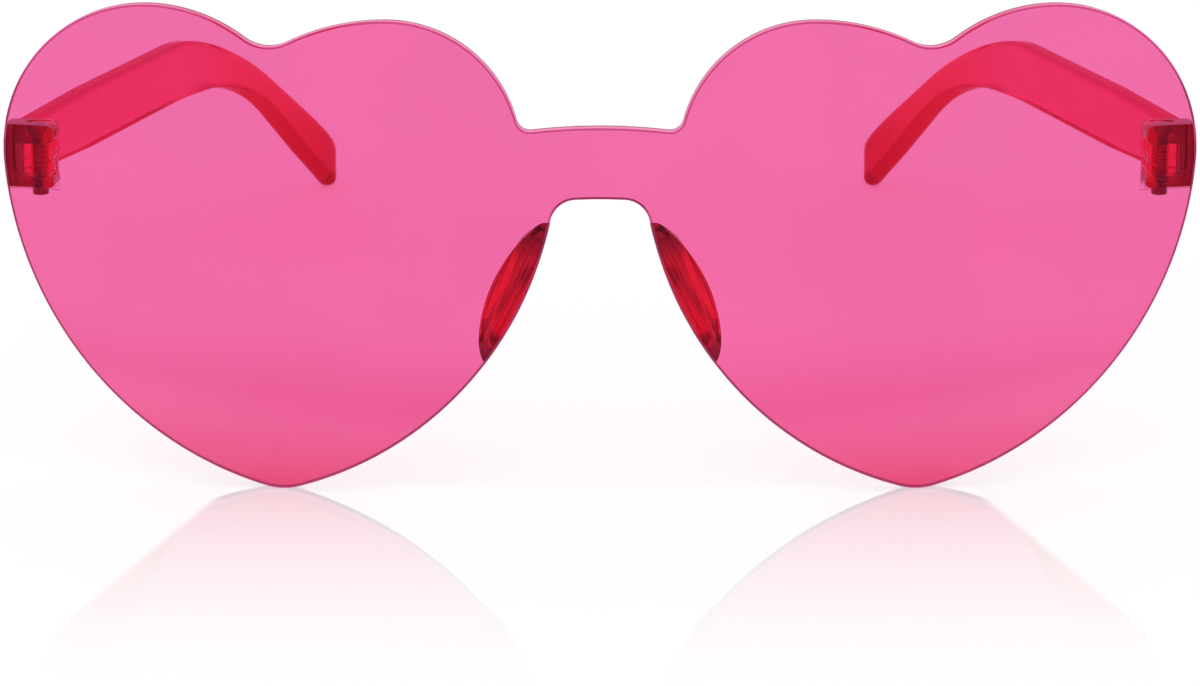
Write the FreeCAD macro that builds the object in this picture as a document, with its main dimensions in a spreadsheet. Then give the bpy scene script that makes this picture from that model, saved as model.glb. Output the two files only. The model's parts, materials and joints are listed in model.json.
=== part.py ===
import FreeCAD, Part
import math
import os
from types import SimpleNamespace

import Sketcher

# Rimless heart sunglasses: one curved shield cut to two hearts, with bonded hinge blocks, screws,
# folding temples and bonded nose pads. They stand on the two heart tips and the two temple tips.
#
# The pieces are drawn upright, as worn: X across the face, Y from the face's front to the back and
# Z up, with the shield's foremost line at Y zero and the heart tips at Z zero. At the end they all
# lean back together until the temple tips touch the ground. Left is the wearer's left, at +X.

# Lengths in millimetres.
LENGTHS = {
    # Shield
    "lens_width": 150.0,
    "lens_height": 60.6,
    "lens_curve_radius": 250.0,
    "lens_thickness": 2.2,
    "lens_edge_chamfer": 0.35,
    # Heart outline: the two lobes with the cleft between them
    "outer_lobe_outer_radius": 19.0,
    "outer_lobe_inner_radius": 20.7,
    "inner_lobe_offset": 26.1,
    "inner_lobe_drop": 1.6,
    "inner_lobe_outer_radius": 28.4,
    "inner_lobe_inner_radius": 16.5,
    "cleft_radius": 5.2,
    # Heart outline: the bridge, the sides, the tip and the nose
    "bridge_drop": 14.5,
    "bridge_depth": 9.0,
    "bridge_crown_radius": 71.0,
    "bridge_corner_radius": 1.6,
    "heart_side_radius": 44.8,
    "heart_tip_offset": 39.9,
    "heart_tip_radius": 8.2,
    "nose_side_radius": 45.0,
    "nose_gauge_drop": 6.4,
    "nose_half_width": 7.0,
    "nose_corner_radius": 3.2,
    "nose_arch_radius": 60.0,
    # Hinge axis
    "hinge_inset": 4.2,
    "hinge_drop": 19.9,
    "hinge_setback": 4.1,
    "hinge_gap": 0.2,
    # Hinge block and its bonded seat
    "block_height": 8.2,
    "block_edge_chamfer": 0.25,
    "upper_ear_height": 2.4,
    "lower_ear_height": 1.7,
    "ear_radius": 2.4,
    "cheek_reach": 3.5,
    "cheek_wall": 1.1,
    "foot_reach": 3.1,
    "foot_height": 8.9,
    "foot_proud": 0.4,
    "seat_depth": 0.4,
    "seat_clearance": 0.1,
    "glue_thickness": 0.1,
    # Hinge screw
    "screw_diameter": 2.0,
    "screw_head_diameter": 3.0,
    "screw_head_height": 1.1,
    "screw_head_sink": 0.15,
    "screw_head_chamfer": 0.2,
    "screw_head_clearance": 0.1,
    "screw_end_reach": 1.2,
    "screw_end_chamfer": 0.35,
    "screw_slot_width": 0.5,
    "screw_slot_depth": 0.5,
    "knuckle_bore_clearance": 0.05,
    # Temple
    "knuckle_radius": 2.25,
    "knuckle_end_gap": 0.1,
    "gusset_reach": 8.0,
    "arm_thickness": 3.1,
    "arm_root_top": 4.1,
    "arm_root_bottom": 2.8,
    "arm_bend_top": 5.5,
    "arm_bend_bottom": 1.7,
    "bend_reach": 88.6,
    "bend_bottom_lag": 8.8,
    "bend_top_radius": 47.7,
    "bend_bottom_radius": 36.0,
    "bend_plan_reach": 83.9,
    "bend_plan_radius": 110.0,
    "ear_length": 30.7,
    "ear_top_round": 3.6,
    "ear_bottom_round": 2.0,
    "ear_end_reach": 3.0,
    "ear_end_radius": 4.5,
    "arm_edge_chamfer": 0.65,
    # Nose pad
    "pad_drop": 12.6,
    "pad_length": 18.8,
    "pad_depth": 6.8,
    "pad_thickness": 4.4,
    "pad_end_thickness": 0.9,
    "pad_splay": 2.4,
    "pad_inset": 0.15,
    "pad_root": 0.5,
    # How far every cut runs past the piece, and how near an edge must lie to be picked
    "overrun": 2.0,
    "pick_reach": 0.1,
}

# Angles in degrees.
ANGLES = {
    "toe_in_angle": 8.1,
    "ear_turn_angle": 14.2,
    "ear_drop_angle": 30.6,
    "ear_taper_angle": 6.5,
    "ear_end_turn_angle": 60.0,
}

# Nose pad sections from the root to the free edge, as shares of the pad's depth, half length, splay,
# thickness and end thickness.
PAD_DEPTH_SHARES = (0.0, 0.45, 0.85, 1.0)
PAD_LENGTH_SHARES = (1.0, 0.94, 0.74, 0.56)
PAD_SPLAY_SHARES = (0.0, 0.3, 0.8, 1.08)
PAD_THICKNESS_SHARES = (1.0, 0.84, 0.52, 0.3)
PAD_END_SHARES = (1.0, 1.0, 0.85, 0.5)

# Least part of a unit normal that counts as facing squarely along an axis.
SQUARE_SHARE = 0.999

SIDES = {"left": 1, "right": -1}


class Size:
    """A number and the sheet expression that gives it."""

    def __init__(self, value, text):
        self.value = value
        self.text = text

    def __add__(self, other):
        return Size(self.value + number(other), f"({self.text} + {text(other)})")

    def __sub__(self, other):
        return Size(self.value - number(other), f"({self.text} - {text(other)})")

    def __mul__(self, other):
        return Size(self.value * number(other), f"({self.text} * {text(other)})")

    def __rmul__(self, other):
        return self * other

    def __truediv__(self, other):
        return Size(self.value / number(other), f"({self.text} / {text(other)})")

    def __neg__(self):
        return Size(-self.value, f"(-{self.text})")


def number(item):
    return item.value if isinstance(item, Size) else item


def text(item):
    return item.text if isinstance(item, Size) else f"({item})"


def root(inner):
    return Size(math.sqrt(inner.value), f"sqrt({inner.text})")


def sine(angle):
    return Size(math.sin(math.radians(angle.value)), f"sin({angle.text})")


def cosine(angle):
    return Size(math.cos(math.radians(angle.value)), f"cos({angle.text})")


def tangent(angle):
    return Size(math.tan(math.radians(angle.value)), f"tan({angle.text})")


# The document and its sheet of driving dimensions

doc = FreeCAD.newDocument("heart_sunglasses")
sheet = doc.addObject("Spreadsheet::Sheet", "Sizes")
for row, (name, value) in enumerate({**LENGTHS, **ANGLES}.items(), start=1):
    sheet.set(f"A{row}", str(value))
    sheet.setAlias(f"A{row}", name)
doc.recompute()
names = [*LENGTHS, *ANGLES]
dim = SimpleNamespace(**{name: Size(sheet.get(name), f"Sizes.{name}") for name in names})


# Drawing helpers

def new_body(label):
    body = doc.addObject("PartDesign::Body", label)
    body.Label = label
    return body


def sketch_on(body, name, role, lift=None):
    """Start a sketch on one of the body's base planes, lifted along the plane's normal."""
    plane = next(item for item in body.Origin.OriginFeatures if item.Role == role)
    sketch = body.newObject("Sketcher::SketchObject", f"{body.Label}_{name}")
    sketch.AttachmentSupport = (plane, "")
    sketch.MapMode = "FlatFace"
    if lift is not None:
        sketch.setExpression(".AttachmentOffset.Base.z", lift.text)
    return sketch


def hold(sketch, kind, geometry, point, size):
    """Bind one coordinate, or a radius, of a sketch element to the sheet."""
    place = (geometry,) if point is None else (geometry, point)
    index = sketch.addConstraint(Sketcher.Constraint(kind, *place, size.value))
    sketch.setExpression(f"Constraints[{index}]", size.text)


def hold_point(sketch, geometry, point, x, y):
    """Bind a sketch point, where a plain zero puts it on the sketch's own axis."""
    for kind, axis, size in (("DistanceX", -2, x), ("DistanceY", -1, y)):
        if isinstance(size, Size):
            hold(sketch, kind, geometry, point, size)
        else:
            sketch.addConstraint(Sketcher.Constraint("PointOnObject", geometry, point, axis))


def arc_between(start, end, radius, turn):
    """The smaller arc from start to end, turning left (1) or right (-1)."""
    chord = end - start
    left = FreeCAD.Vector(-chord.y, chord.x, 0).normalize()
    rise = math.sqrt(radius ** 2 - (chord.Length / 2) ** 2)
    centre = (start + end) / 2 + left * turn * rise
    middle = centre - left * turn * radius
    if turn > 0:
        return Part.Arc(start, middle, end)
    return Part.Arc(end, middle, start)


def draw_loop(sketch, corners):
    """Close a loop through corners (x, y) or (x, y, turn, radius). A corner with a radius starts an
    arc to the next corner, turning left (1) or right (-1); the others start a straight edge."""
    first = sketch.GeometryCount
    count = len(corners)
    points = [FreeCAD.Vector(number(corner[0]), number(corner[1]), 0) for corner in corners]
    starts = []
    for index, corner in enumerate(corners):
        start, end = points[index], points[(index + 1) % count]
        if len(corner) > 2:
            sketch.addGeometry(arc_between(start, end, corner[3].value, corner[2]))
            starts.append(1 if corner[2] > 0 else 2)
        else:
            sketch.addGeometry(Part.LineSegment(start, end))
            starts.append(1)
    for index, corner in enumerate(corners):
        following = (index + 1) % count
        sketch.addConstraint(Sketcher.Constraint(
            "Coincident", first + index, 3 - starts[index], first + following, starts[following]))
        hold_point(sketch, first + index, starts[index], corner[0], corner[1])
        if len(corner) > 2:
            hold(sketch, "Radius", first + index, None, corner[3])


def draw_circle(sketch, x, y, radius):
    index = sketch.addGeometry(Part.Circle(
        FreeCAD.Vector(number(x), number(y), 0), FreeCAD.Vector(0, 0, 1), radius.value))
    hold_point(sketch, index, 3, x, y)
    hold(sketch, "Radius", index, None, radius)


def pad(body, sketch, length, symmetric=False):
    feature = body.newObject("PartDesign::Pad", f"{sketch.Label}_pad")
    feature.Profile = sketch
    feature.SideType = "Symmetric" if symmetric else "One side"
    feature.setExpression("Length", length.text)
    doc.recompute()
    return feature


def pocket(body, sketch, length=None):
    """Cut upwards from the sketch by a length, or right through both ways."""
    before = body.Shape.Volume
    feature = body.newObject("PartDesign::Pocket", f"{sketch.Label}_cut")
    feature.Profile = sketch
    if length is None:
        feature.Type = "ThroughAll"
        feature.SideType = "Symmetric"
    else:
        feature.Reversed = True
        feature.setExpression("Length", length.text)
    doc.recompute()
    if body.Shape.Volume >= before:
        raise RuntimeError(f"{feature.Label} cuts nothing")
    return feature


def dress(body, name, kind, size_name, size, chosen, element):
    """Round or break the edges, or every edge of the faces, that the test picks from the body."""
    base = body.Tip
    items = base.Shape.Faces if element == "Face" else base.Shape.Edges
    picked = [f"{element}{index}" for index, item in enumerate(items, start=1) if chosen(item)]
    if not picked:
        raise RuntimeError(f"{body.Label} has no edge for {name}")
    feature = body.newObject(f"PartDesign::{kind}", f"{body.Label}_{name}")
    feature.Base = (base, picked)
    feature.setExpression(size_name, size.text)
    doc.recompute()
    return feature


def fillet(body, name, radius, chosen):
    return dress(body, name, "Fillet", "Radius", radius, chosen, "Edge")


def chamfer(body, name, size, chosen, element="Edge"):
    return dress(body, name, "Chamfer", "Size", size, chosen, element)


# Shared places

def surface_y(radius, x):
    """Depth at X of an upright cylinder that shares the shield's axis of curvature."""
    return dim.lens_curve_radius - root(radius * radius - x * x)


lens_back_radius = dim.lens_curve_radius - dim.lens_thickness
seat_radius = lens_back_radius + dim.seat_depth
foot_front_radius = seat_radius - dim.glue_thickness
foot_back_radius = lens_back_radius - dim.foot_proud
hinge_x = dim.lens_width / 2 - dim.hinge_inset
hinge_y = surface_y(lens_back_radius, hinge_x) + dim.hinge_setback
hinge_z = dim.lens_height - dim.hinge_drop
butt_y = dim.ear_radius + dim.hinge_gap
outer_lobe_x = dim.lens_width / 2 - dim.outer_lobe_outer_radius
inner_lobe_top = dim.lens_height - dim.inner_lobe_drop
bridge_top = dim.lens_height - dim.bridge_drop
nose_arch_top = bridge_top - dim.bridge_depth
nose_gauge_z = nose_arch_top - dim.nose_gauge_drop


def circles_meet(first, first_radius, second, second_radius, side):
    """The point at the two distances from two centres, left (1) or right (-1) of the way across."""
    across = second - first
    along = (first_radius ** 2 - second_radius ** 2 + across.Length ** 2) / (2 * across.Length)
    rise = math.sqrt(first_radius ** 2 - along ** 2)
    step = FreeCAD.Vector(across).normalize()
    return first + step * along + FreeCAD.Vector(-step.y, step.x, 0) * rise * side


def heart_arcs():
    """One heart's arcs, clockwise from the bridge to the nose arch: name, radius, centre, turn. Each
    is tangent to its neighbours; a turn of -1 bulges out of the shield and 1 is hollow."""
    at = FreeCAD.Vector
    crown = at(0, bridge_top.value - dim.bridge_crown_radius.value)
    inner_top = at(dim.inner_lobe_offset.value, inner_lobe_top.value)
    inner_a = inner_top - at(0, dim.inner_lobe_inner_radius.value)
    inner_b = inner_top - at(0, dim.inner_lobe_outer_radius.value)
    outer_top = at(outer_lobe_x.value, dim.lens_height.value)
    outer_a = outer_top - at(0, dim.outer_lobe_inner_radius.value)
    outer_b = outer_top - at(0, dim.outer_lobe_outer_radius.value)
    tip = at(dim.heart_tip_offset.value, dim.heart_tip_radius.value)
    gauge = at(dim.nose_half_width.value, nose_gauge_z.value)
    arch = at(0, nose_arch_top.value - dim.nose_arch_radius.value)
    corner_r = dim.bridge_corner_radius.value
    cleft_r = dim.cleft_radius.value
    side_r = dim.heart_side_radius.value
    tip_r = dim.heart_tip_radius.value
    nose_r = dim.nose_side_radius.value
    nook_r = dim.nose_corner_radius.value
    corner = circles_meet(crown, dim.bridge_crown_radius.value + corner_r,
                          inner_a, dim.inner_lobe_inner_radius.value + corner_r, 1)
    cleft = circles_meet(inner_b, dim.inner_lobe_outer_radius.value + cleft_r,
                         outer_a, dim.outer_lobe_inner_radius.value + cleft_r, 1)
    side = circles_meet(outer_b, side_r - dim.outer_lobe_outer_radius.value, tip, side_r - tip_r, -1)
    nose = circles_meet(gauge, nose_r, tip, nose_r - tip_r, 1)
    nook = circles_meet(arch, dim.nose_arch_radius.value - nook_r, nose, nose_r + nook_r, 1)
    return [
        ("crown", dim.bridge_crown_radius, crown, -1),
        ("corner", dim.bridge_corner_radius, corner, 1),
        ("inner_lobe_a", dim.inner_lobe_inner_radius, inner_a, -1),
        ("inner_lobe_b", dim.inner_lobe_outer_radius, inner_b, -1),
        ("cleft", dim.cleft_radius, cleft, 1),
        ("outer_lobe_a", dim.outer_lobe_inner_radius, outer_a, -1),
        ("outer_lobe_b", dim.outer_lobe_outer_radius, outer_b, -1),
        ("side", dim.heart_side_radius, side, -1),
        ("tip", dim.heart_tip_radius, tip, -1),
        ("nose", dim.nose_side_radius, nose, -1),
        ("nook", dim.nose_corner_radius, nook, 1),
        ("arch", dim.nose_arch_radius, arch, 1),
    ]


def tangent_point(first, second):
    """Where two neighbouring arcs of the outline touch."""
    (_, radius_a, centre_a, turn_a), (_, radius_b, centre_b, turn_b) = first, second
    way = centre_b - centre_a
    if way.Length == 0:
        raise ValueError("neighbouring arcs share a centre")
    outside = turn_a != turn_b
    if outside or radius_a.value > radius_b.value:
        return centre_a + way.normalize() * radius_a.value
    return centre_a - way.normalize() * radius_a.value


def draw_hearts(sketch):
    """Draw the whole shield outline as one closed run of tangent arcs."""
    half = heart_arcs()
    touches = [tangent_point(half[index], half[index + 1]) for index in range(len(half) - 1)]

    def mirrored(point):
        return FreeCAD.Vector(-point.x, point.y, 0)

    run = [(*half[0], mirrored(touches[0]), touches[0], 0)]
    for index in range(1, len(half) - 1):
        run.append((*half[index], touches[index - 1], touches[index], 1))
    run.append((*half[-1], touches[-1], mirrored(touches[-1]), 0))
    for index in range(len(half) - 2, 0, -1):
        name, radius, centre, turn = half[index]
        run.append((name, radius, mirrored(centre), turn,
                    mirrored(touches[index]), mirrored(touches[index - 1]), -1))

    first = sketch.GeometryCount
    places = {}
    for index, (name, radius, centre, turn, start, end, side) in enumerate(run):
        begin, finish = (start, end) if turn > 0 else (end, start)
        circle = Part.Circle(centre, FreeCAD.Vector(0, 0, 1), radius.value)
        angles = [math.atan2(point.y - centre.y, point.x - centre.x) for point in (begin, finish)]
        sketch.addGeometry(Part.ArcOfCircle(circle, *angles))
        hold(sketch, "Radius", first + index, None, radius)
        places[name, side] = first + index
    for index, item in enumerate(run):
        following = (index + 1) % len(run)
        sketch.addConstraint(Sketcher.Constraint(
            "Tangent", first + index, 2 if item[3] > 0 else 1,
            first + following, 1 if run[following][3] > 0 else 2))

    hold_point(sketch, places["crown", 0], 3, 0, bridge_top - dim.bridge_crown_radius)
    hold_point(sketch, places["arch", 0], 3, 0, nose_arch_top - dim.nose_arch_radius)
    for side in SIDES.values():
        for lobe, offset, height in (("inner_lobe_a", dim.inner_lobe_offset, inner_lobe_top),
                                     ("outer_lobe_a", outer_lobe_x, dim.lens_height)):
            top = 1 if side > 0 else 2
            hold_point(sketch, places[lobe, side], top, side * offset, height)
            hold(sketch, "DistanceX", places[lobe, side], 3, side * offset)
        hold_point(sketch, places["tip", side], 3, side * dim.heart_tip_offset, dim.heart_tip_radius)
        gauge = sketch.addGeometry(Part.Point(FreeCAD.Vector(
            side * dim.nose_half_width.value, nose_gauge_z.value, 0)), True)
        hold_point(sketch, gauge, 1, side * dim.nose_half_width, nose_gauge_z)
        sketch.addConstraint(Sketcher.Constraint("PointOnObject", gauge, 1, places["nose", side]))


# Shield

def make_lens():
    """A curved sheet cut to the two hearts, with broken edges and two shallow seats at the back."""
    body = new_body("lens_shield")
    sheet_half = dim.lens_width / 2 + dim.overrun
    plan = sketch_on(body, "plan", "XY_Plane", -dim.overrun)
    draw_loop(plan, [
        (-sheet_half, surface_y(dim.lens_curve_radius, sheet_half), 1, dim.lens_curve_radius),
        (sheet_half, surface_y(dim.lens_curve_radius, sheet_half)),
        (sheet_half, surface_y(lens_back_radius, sheet_half), -1, lens_back_radius),
        (-sheet_half, surface_y(lens_back_radius, sheet_half)),
    ])
    pad(body, plan, dim.lens_height + dim.overrun * 2)

    outline = sketch_on(body, "outline", "XZ_Plane")
    frame_half = sheet_half + dim.overrun
    frame_low = -dim.overrun * 2
    frame_high = dim.lens_height + dim.overrun * 2
    draw_loop(outline, [(-frame_half, frame_low), (frame_half, frame_low),
                        (frame_half, frame_high), (-frame_half, frame_high)])
    draw_hearts(outline)
    pocket(body, outline)

    areas = sorted((face.Area for face in body.Shape.Faces), reverse=True)
    for name, rank in (("front_edge", 0), ("back_edge", 1)):
        chamfer(body, name, dim.lens_edge_chamfer, lambda face: face.Area == areas[rank], "Face")

    for name, side in SIDES.items():
        seat_inner = hinge_x - dim.foot_reach - dim.seat_clearance
        seat_outer = dim.lens_width / 2 + dim.overrun
        seat_back = surface_y(lens_back_radius, dim.lens_width / 2) + dim.overrun
        seat = sketch_on(body, f"seat_{name}", "XY_Plane",
                         hinge_z - dim.foot_height / 2 - dim.seat_clearance)
        draw_loop(seat, [
            (side * seat_inner, surface_y(seat_radius, seat_inner), side, seat_radius),
            (side * seat_outer, surface_y(seat_radius, seat_outer)),
            (side * seat_outer, seat_back),
            (side * seat_inner, seat_back),
        ])
        pocket(body, seat, dim.foot_height + dim.seat_clearance * 2)
    return body


# Hinge blocks: drawn from the hinge axis, at the middle of the block's height

def local_y(radius, x):
    """Depth of a shield surface from the hinge axis, at X from that axis."""
    return surface_y(radius, hinge_x + x) - hinge_y


def make_glue(name, side):
    """The film of adhesive that fills the seat behind the block's foot."""
    body = new_body(f"hinge_glue_{name}")
    plan = sketch_on(body, "plan", "XY_Plane")
    draw_loop(plan, [
        (side * -dim.foot_reach, local_y(seat_radius, -dim.foot_reach), side, seat_radius),
        (side * dim.cheek_reach, local_y(seat_radius, dim.cheek_reach)),
        (side * dim.cheek_reach, local_y(foot_front_radius, dim.cheek_reach), -side, foot_front_radius),
        (side * -dim.foot_reach, local_y(foot_front_radius, -dim.foot_reach)),
    ])
    pad(body, plan, dim.foot_height, symmetric=True)
    return body


def make_block(name, side):
    """Two ears and an outer cheek on a curved foot, open to the inside for the temple's knuckle."""
    body = new_body(f"hinge_block_{name}")
    box_front = local_y(seat_radius, -dim.foot_reach) - dim.overrun
    ears = sketch_on(body, "ears", "XY_Plane")
    draw_loop(ears, [
        (side * -dim.ear_radius, box_front),
        (side * dim.cheek_reach, box_front),
        (side * dim.cheek_reach, dim.ear_radius),
        (0, dim.ear_radius, side, dim.ear_radius),
        (side * -dim.ear_radius, 0),
    ])
    pad(body, ears, dim.block_height, symmetric=True)

    waste = sketch_on(body, "front", "XY_Plane")
    waste_half = dim.cheek_reach + dim.overrun
    draw_loop(waste, [
        (side * -waste_half, local_y(foot_front_radius, -waste_half), side, foot_front_radius),
        (side * waste_half, local_y(foot_front_radius, waste_half)),
        (side * waste_half, box_front - dim.overrun),
        (side * -waste_half, box_front - dim.overrun),
    ])
    pocket(body, waste)

    foot = sketch_on(body, "foot", "XY_Plane")
    draw_loop(foot, [
        (side * -dim.foot_reach, local_y(foot_front_radius, -dim.foot_reach), side, foot_front_radius),
        (side * dim.cheek_reach, local_y(foot_front_radius, dim.cheek_reach)),
        (side * dim.cheek_reach, local_y(foot_back_radius, dim.cheek_reach), -side, foot_back_radius),
        (side * -dim.foot_reach, local_y(foot_back_radius, -dim.foot_reach)),
    ])
    pad(body, foot, dim.foot_height, symmetric=True)

    gap = sketch_on(body, "gap", "XY_Plane", dim.lower_ear_height - dim.block_height / 2)
    gap_front = -(dim.knuckle_radius + dim.hinge_gap)
    gap_outer = dim.cheek_reach - dim.cheek_wall
    gap_inner = dim.ear_radius + dim.overrun
    draw_loop(gap, [
        (side * -gap_inner, gap_front),
        (side * gap_outer, gap_front),
        (side * gap_outer, dim.ear_radius + dim.overrun),
        (side * -gap_inner, dim.ear_radius + dim.overrun),
    ])
    pocket(body, gap, dim.block_height - dim.upper_ear_height - dim.lower_ear_height)

    bore = sketch_on(body, "bore", "XY_Plane")
    draw_circle(bore, 0, 0, dim.screw_diameter / 2)
    pocket(body, bore)

    head_depth = dim.screw_head_height + dim.screw_head_sink
    head = sketch_on(body, "head_bore", "XY_Plane", dim.block_height / 2 - head_depth)
    draw_circle(head, 0, 0, dim.screw_head_diameter / 2 + dim.screw_head_clearance)
    pocket(body, head, head_depth + dim.overrun)

    def is_outer_rim(edge):
        near = dim.pick_reach.value
        box = edge.BoundBox
        flat = box.ZLength < near
        at_end = abs(abs(box.Center.z) - dim.block_height.value / 2) < near
        bored = abs(box.Center.x) < near and box.XLength < dim.screw_head_diameter.value * 2
        behind = box.YMin > gap_front.value
        return flat and at_end and behind and not bored

    chamfer(body, "rim", dim.block_edge_chamfer, is_outer_rim)
    return body


def make_screw(name):
    """A slotted screw, sunk into the upper ear, whose end stands out below the lower ear."""
    body = new_body(f"hinge_screw_{name}")
    profile = sketch_on(body, "profile", "XZ_Plane")
    top = dim.block_height / 2 - dim.screw_head_sink
    under_head = top - dim.screw_head_height
    end = -(dim.block_height / 2 + dim.screw_end_reach)
    head_radius = dim.screw_head_diameter / 2
    shank_radius = dim.screw_diameter / 2
    draw_loop(profile, [
        (0, top),
        (0, end),
        (shank_radius - dim.screw_end_chamfer, end),
        (shank_radius, end + dim.screw_end_chamfer),
        (shank_radius, under_head),
        (head_radius, under_head),
        (head_radius, top - dim.screw_head_chamfer),
        (head_radius - dim.screw_head_chamfer, top),
    ])
    turned = body.newObject("PartDesign::Revolution", f"{body.Label}_turned")
    turned.Profile = profile
    turned.ReferenceAxis = (profile, ["V_Axis"])
    turned.Angle = 360
    doc.recompute()

    slot = sketch_on(body, "slot", "XY_Plane", top - dim.screw_slot_depth)
    slot_reach = head_radius + dim.overrun
    slot_half = dim.screw_slot_width / 2
    draw_loop(slot, [(-slot_reach, -slot_half), (slot_reach, -slot_half),
                     (slot_reach, slot_half), (-slot_reach, slot_half)])
    pocket(body, slot, dim.screw_slot_depth + dim.overrun)
    return body


# Temples: drawn from the hinge axis, open

bend_bottom_reach = dim.bend_reach + dim.bend_bottom_lag
ear_reach = bend_bottom_reach + dim.ear_length
ear_top = dim.arm_bend_top - (ear_reach - dim.bend_reach) * tangent(dim.ear_drop_angle)
ear_under_angle = dim.ear_drop_angle + dim.ear_taper_angle
ear_bottom = -dim.arm_bend_bottom - dim.ear_length * tangent(ear_under_angle)


def make_temple(name, side):
    """An arm with a dropped ear end, cut by its plan, with one knuckle between the block's ears."""
    body = new_body(f"temple_{name}")
    profile = sketch_on(body, "profile", "YZ_Plane")
    draw_loop(profile, [
        (butt_y, -dim.arm_root_bottom),
        (bend_bottom_reach, -dim.arm_bend_bottom),
        (ear_reach, ear_bottom),
        (ear_reach, ear_top),
        (dim.bend_reach, dim.arm_bend_top),
        (butt_y, dim.arm_root_top),
    ])
    ear_inward = dim.toe_in_angle + dim.ear_turn_angle
    slab = ear_reach * tangent(ear_inward) + dim.cheek_reach + dim.overrun
    pad(body, profile, slab * 2, symmetric=True)

    def cross_edge(y, z):
        spot = FreeCAD.Vector(0, y.value, z.value)
        return lambda edge: edge.BoundBox.XLength > slab.value and (
            edge.CenterOfMass - spot).Length < dim.pick_reach.value

    fillet(body, "bend_top", dim.bend_top_radius, cross_edge(dim.bend_reach, dim.arm_bend_top))
    fillet(body, "bend_bottom", dim.bend_bottom_radius, cross_edge(bend_bottom_reach, -dim.arm_bend_bottom))
    fillet(body, "ear_top", dim.ear_top_round, cross_edge(ear_reach, ear_top))
    fillet(body, "ear_bottom", dim.ear_bottom_round, cross_edge(ear_reach, ear_bottom))

    plan = sketch_on(body, "plan", "XY_Plane")
    turn_half = dim.ear_turn_angle / 2
    mean_angle = dim.toe_in_angle + turn_half
    end_y = ear_reach + dim.overrun
    outer_corner = dim.cheek_reach - (dim.bend_plan_reach - butt_y) * tangent(dim.toe_in_angle)
    corner_shift = dim.arm_thickness / cosine(turn_half)
    corners = {
        "outer": (outer_corner, dim.bend_plan_reach, dim.bend_plan_radius + dim.arm_thickness),
        "inner": (outer_corner - corner_shift * cosine(mean_angle),
                  dim.bend_plan_reach - corner_shift * sine(mean_angle), dim.bend_plan_radius),
    }
    edge_points = {}
    for face, (x, y, radius) in corners.items():
        reach = radius * tangent(turn_half)
        edge_points[face] = SimpleNamespace(
            root_x=x + (y - butt_y) * tangent(dim.toe_in_angle),
            from_x=x + reach * sine(dim.toe_in_angle), from_y=y - reach * cosine(dim.toe_in_angle),
            to_x=x - reach * sine(ear_inward), to_y=y + reach * cosine(ear_inward),
            end_x=x - (end_y - y) * tangent(ear_inward), radius=radius)
    outer, inner = edge_points["outer"], edge_points["inner"]
    round_from_y = ear_reach - dim.ear_end_reach
    round_from_x = inner.to_x - (round_from_y - inner.to_y) * tangent(ear_inward)
    round_in = dim.ear_end_radius - dim.ear_end_radius * cosine(dim.ear_end_turn_angle)
    round_back = dim.ear_end_radius * sine(dim.ear_end_turn_angle)
    round_x = round_from_x + round_in * cosine(ear_inward) - round_back * sine(ear_inward)
    round_y = round_from_y + round_in * sine(ear_inward) + round_back * cosine(ear_inward)
    draw_loop(plan, [
        (side * outer.root_x, butt_y),
        (side * outer.from_x, outer.from_y, side, outer.radius),
        (side * outer.to_x, outer.to_y),
        (side * outer.end_x, end_y),
        (side * round_x, round_y, side, dim.ear_end_radius),
        (side * round_from_x, round_from_y),
        (side * inner.to_x, inner.to_y, -side, inner.radius),
        (side * inner.from_x, inner.from_y),
        (side * inner.root_x, butt_y),
    ])
    frame_half = slab + dim.overrun
    frame_front = butt_y - dim.overrun
    frame_back = end_y + dim.overrun
    draw_loop(plan, [(-frame_half, frame_front), (frame_half, frame_front),
                     (frame_half, frame_back), (-frame_half, frame_back)])
    pocket(body, plan)
    cut_arm = body.Tip.Shape

    def is_long_edge(edge):
        normals = [face.normalAt(*face.Surface.parameter(edge.CenterOfMass))
                   for face in cut_arm.ancestorsOfType(edge, Part.Face)]
        if len(normals) != 2 or any(abs(normal.y) > SQUARE_SHARE for normal in normals):
            return False
        upright = [abs(normal.z) < 1 - SQUARE_SHARE for normal in normals]
        level = [abs(normal.x) < 1 - SQUARE_SHARE for normal in normals]
        return (upright[0] and level[1] and not level[0]) or (upright[1] and level[0] and not level[1])

    chamfer(body, "edges", dim.arm_edge_chamfer, is_long_edge)

    knuckle_low = dim.lower_ear_height - dim.block_height / 2 + dim.knuckle_end_gap
    knuckle_high = dim.block_height / 2 - dim.upper_ear_height - dim.knuckle_end_gap
    knuckle = sketch_on(body, "knuckle", "XY_Plane", knuckle_low)
    gusset_shift = (dim.gusset_reach - butt_y) * tangent(dim.toe_in_angle)
    gusset_x = inner.root_x - gusset_shift + dim.arm_thickness / 4
    draw_loop(knuckle, [
        (side * -dim.knuckle_radius, 0, side, dim.knuckle_radius),
        (0, -dim.knuckle_radius, side, dim.knuckle_radius),
        (side * dim.knuckle_radius, 0),
        (side * dim.knuckle_radius, butt_y + dim.arm_thickness / 2),
        (side * gusset_x, dim.gusset_reach),
    ])
    pad(body, knuckle, knuckle_high - knuckle_low)

    bore = sketch_on(body, "bore", "XY_Plane")
    draw_circle(bore, 0, 0, dim.screw_diameter / 2 + dim.knuckle_bore_clearance)
    pocket(body, bore)
    return body


# Nose pads

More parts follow.
